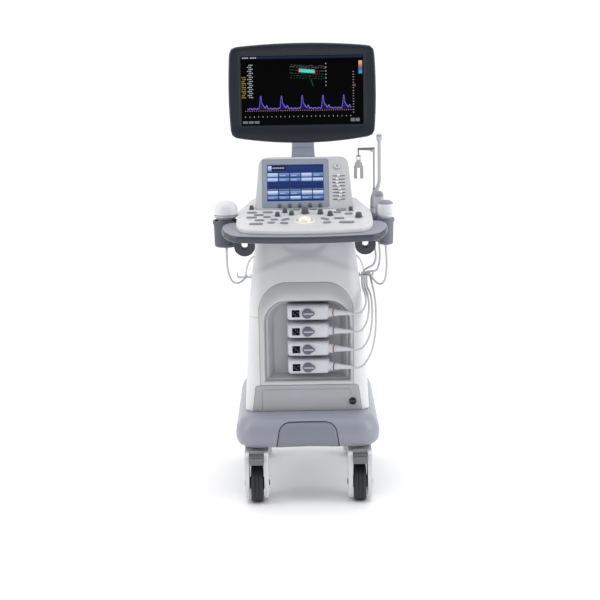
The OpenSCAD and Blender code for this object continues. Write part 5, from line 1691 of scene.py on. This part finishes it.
class SCANNER_OT_probes(bpy.types.Operator):
    """Builds the volume, convex, linear and endocavity probes standing in their cups"""

    bl_idname = "scanner.probes"
    bl_label = "Hand probes"

    foot = 847

    def handle(self, neck):
        """The strain relief and the start of the grip."""
        relief = [(0, self.foot), (4.4, self.foot)]
        for k in range(4):
            relief += [(5.0 + 0.3 * k, self.foot + 1 + 4 * k), (4.7 + 0.3 * k, self.foot + 3 + 4 * k)]
        return relief + [(6.4, 864), (neck - 1.5, 868), (neck, 873)]

    def made(self, name, i, parts, finishes, replaces):
        finish_piece(name, join(*parts), f"hand_probe_{i}", finishes, [replaces], SLOT_OF[replaces], 34)

    def execute(self, context):
        self.volume()
        self.convex()
        self.linear()
        self.endocavity()
        return {"FINISHED"}

    def volume(self):
        """A wide round head with a white dome."""
        x, y = CUPS[3][:2]
        lower = turned(self.handle(24) + lathe_smooth([(24, 880), (24, 936), (30, 948), (37.5, 955),
            (39.4, 960)])
            + [(39.4, 960.5), (0, 960.5), (0, self.foot)], 56)
        band = cylinder(38.6, 960.4, 963.4, 56)
        dome = turned([(0, 963.2), (39.0, 963.2)] + lathe_smooth([(39.8, 964), (40, 970), (39, 984),
            (34, 996),
            (22, 1004.6), (9, 1007.6), (0, 1008)], 5) + [(0, 963.2)], 64)
        notch = cuboid((-4, 4), (-39.6, -34), (951, 958), 1.4, 2)
        place = at(x, y, 0)
        self.made("volume_probe", 4, [placed(lower, place, 0), placed(band, place, 1),
            placed(dome, place, 2), placed(notch, place, 1)], ["probe_grey", "lens_grey", "probe_white"],
            "probe_4")

    def convex(self):
        """A broad, flattened head with a curved grey lens across its top."""
        x, y = CUPS[2][:2]
        grip = turned(self.handle(18) + lathe_smooth([(18, 880), (17.6, 910), (18.4, 936), (22, 948),
            (25.4, 956)])
            + [(25.4, 957), (0, 957), (0, self.foot)], 48)
        head = turned([(0, 956)] + lathe_smooth([(25.2, 956.2), (26.8, 962), (27, 972), (26.6, 982),
            (25, 988)], 4)
            + [(24.4, 989), (0, 989), (0, 956)], 56)
        lens = turned([(0, 988.6)] + lathe_smooth([(24.2, 988.8), (22.6, 993.6), (18, 998.6), (9, 1002),
            (0, 1002.8)], 4)
            + [(0, 988.6)], 56)
        flat = Matrix.Diagonal((1, 0.72, 1, 1))
        place = at(x, y, 0)
        self.made("convex_probe", 3, [placed(grip, place, 0), placed(head, place @ flat, 0),
            placed(lens, place @ flat, 1)], ["probe_white", "lens_grey"], "probe_3")

    def linear(self):
        """A slim grip with a narrow rounded lens."""
        x, y = CUPS[1][:2]
        grip = turned(self.handle(12) + lathe_smooth([(12, 880), (11.6, 920), (12, 946), (13.6, 962),
            (14.8, 978)])
            + [(15, 990), (15, 1006), (0, 1006), (0, self.foot)], 44)
        tip = turned([(0, 1005.6)] + lathe_smooth([(14.7, 1005.8), (14, 1013), (10.6, 1020), (5, 1024),
            (0, 1024.8)], 4)
            + [(0, 1005.6)], 44)
        flat = Matrix.Diagonal((1, 0.8, 1, 1))
        place = at(x, y, 0)
        self.made("linear_probe", 2, [placed(grip, place @ flat, 0), placed(tip, place @ flat, 1)],
            ["probe_grey", "lens_grey"], "probe_2")

    def endocavity(self):
        """A thin bent shaft with a small bulb."""
        x, y = CUPS[0][:2]
        low = turned(self.handle(13) + [(13.2, 882), (14, 938), (13.8, 946), (12.2, 953), (11, 957), (0, 957),
            (0, self.foot)], 40)
        bend = spline([(x, y, 955), (x, y, 975), (x + 1, y, 998), (x + 9, y - 3, 1018), (x + 16, y - 6, 1036),
            (x + 19.4, y - 7.6, 1052), (x + 20, y - 8, 1070), (x + 20, y - 8, 1110), (x + 20, y - 8, 1196)],
            6)

        def thick(t):
            return 11 - 4.9 * smoothstep(0.12, 0.6, t)

        shaft = tube(bend, thick, 24)
        bulb = turned([(0, -14)] + lathe_smooth([(6.2, -13.6), (8.6, -9), (10, 0), (9.4, 6.4), (6.4, 11.4),
            (2.6, 13.6),
            (0, 14)], 4) + [(0, -14)], 40)
        lens = turned([(8.8, 4.6), (9.9, 4.4), (9.7, 6.2), (8.2, 9.2), (8.0, 8.8), (8.8, 4.6)], 40)
        ring = turned([(10.6, 0), (11.6, 0.3), (11.6, 3.6), (10.6, 3.9), (10.6, 0)], 40)
        top = at(x + 20, y - 8, 1196)
        self.made("endocavity_probe", 1, [placed(low, at(x, y, 0), 0), painted(shaft, 0),
            placed(bulb, top, 0), placed(lens, top, 1), placed(ring, at(x, y, 962), 1)],
            ["probe_grey", "lens_grey"], "probe_1")


# ---- hanger and hooks ----
class SCANNER_OT_hanger(bpy.types.Operator):
    """Builds the swinging cable hanger with its clip, and the cable hooks and cradles"""

    bl_idname = "scanner.hanger"
    bl_label = "Hanger and hooks"

    cradles_below = 800

    def execute(self, context):
        refined("hanger_pole", "pole_steel", 0.3, 2, 50)
        x = POLE[0]
        outline = rounded_corners([(x + 4, 1137), (x + 4, 1160), (x - 50, 1158), (x - 55, 1153),
            (x - 50, 1150),
            (x - 16, 1148)], 2.5)
        blade = standing(plate(outline, -2.6, 2.6, 1, 2, 1), POLE[1])
        finish_piece("hanger_blade", blade, BODY_OF["hanger_pole"], "clip_grey", (), SLOT_OF["hanger_pole"])
        refined("hanger_clip", "clip_grey", 0.7, 3)
        hooks = softened("cable_hooks", 2.2, 3)
        for face in hooks.faces:
            face.material_index = 1 if face.calc_center_median().z < self.cradles_below else 0
        finish_piece("cable_hooks_shell", hooks, "root", ["hook_navy", "white_shell"], ["cable_hooks"],
            "hook_navy")
        return {"FINISHED"}


class SCANNER_OT_inside(bpy.types.Operator):
    """Finishes the parts inside the covers: card cage, power supply and fan"""

    bl_idname = "scanner.inside"
    bl_label = "Inside"

    def execute(self, context):
        repainted("card_cage", "sheet_metal")
        refined("power_supply", "sheet_metal", 0.5)
        repainted("fan_rotor", "wheel_core")
        return {"FINISHED"}


class SCANNER_PT_panel(bpy.types.Panel):
    """Lists the pieces and their settings"""

    bl_idname = "SCANNER_PT_panel"
    bl_label = "Scanner looks"
    bl_space_type = "VIEW_3D"
    bl_region_type = "UI"
    bl_category = "Scanner"

    def draw(self, context):
        for made in OPERATORS:
            self.layout.operator(made.bl_idname, text=made.bl_label)
        for group in (context.scene.scanner_sizes, context.scene.scanner_colours):
            for key in group.__annotations__:
                self.layout.prop(group, key)


OPERATORS = [SCANNER_OT_stage, SCANNER_OT_cables, SCANNER_OT_casters, SCANNER_OT_base, SCANNER_OT_body,
    SCANNER_OT_connector_bay, SCANNER_OT_plugs, SCANNER_OT_console, SCANNER_OT_controls,
    SCANNER_OT_touch_unit,
    SCANNER_OT_monitor, SCANNER_OT_cups, SCANNER_OT_probes, SCANNER_OT_hanger, SCANNER_OT_inside]
CLASSES = [ScannerSizes, ScannerColours, *OPERATORS, SCANNER_PT_panel]


def register():
    for made in CLASSES:
        bpy.utils.register_class(made)
    bpy.types.Scene.scanner_sizes = bpy.props.PointerProperty(type=ScannerSizes)
    bpy.types.Scene.scanner_colours = bpy.props.PointerProperty(type=ScannerColours)


def unregister():
    del bpy.types.Scene.scanner_colours
    del bpy.types.Scene.scanner_sizes
    for made in reversed(CLASSES):
        bpy.utils.unregister_class(made)


def main():
    register()
    build_finishes(bpy.context.scene.scanner_colours)
    for made in OPERATORS:
        group, action = made.bl_idname.split(".")
        if getattr(getattr(bpy.ops, group), action)() != {"FINISHED"}:
            raise RuntimeError(f"{made.bl_label} did not finish")


if __name__ == "__main__":
    main()
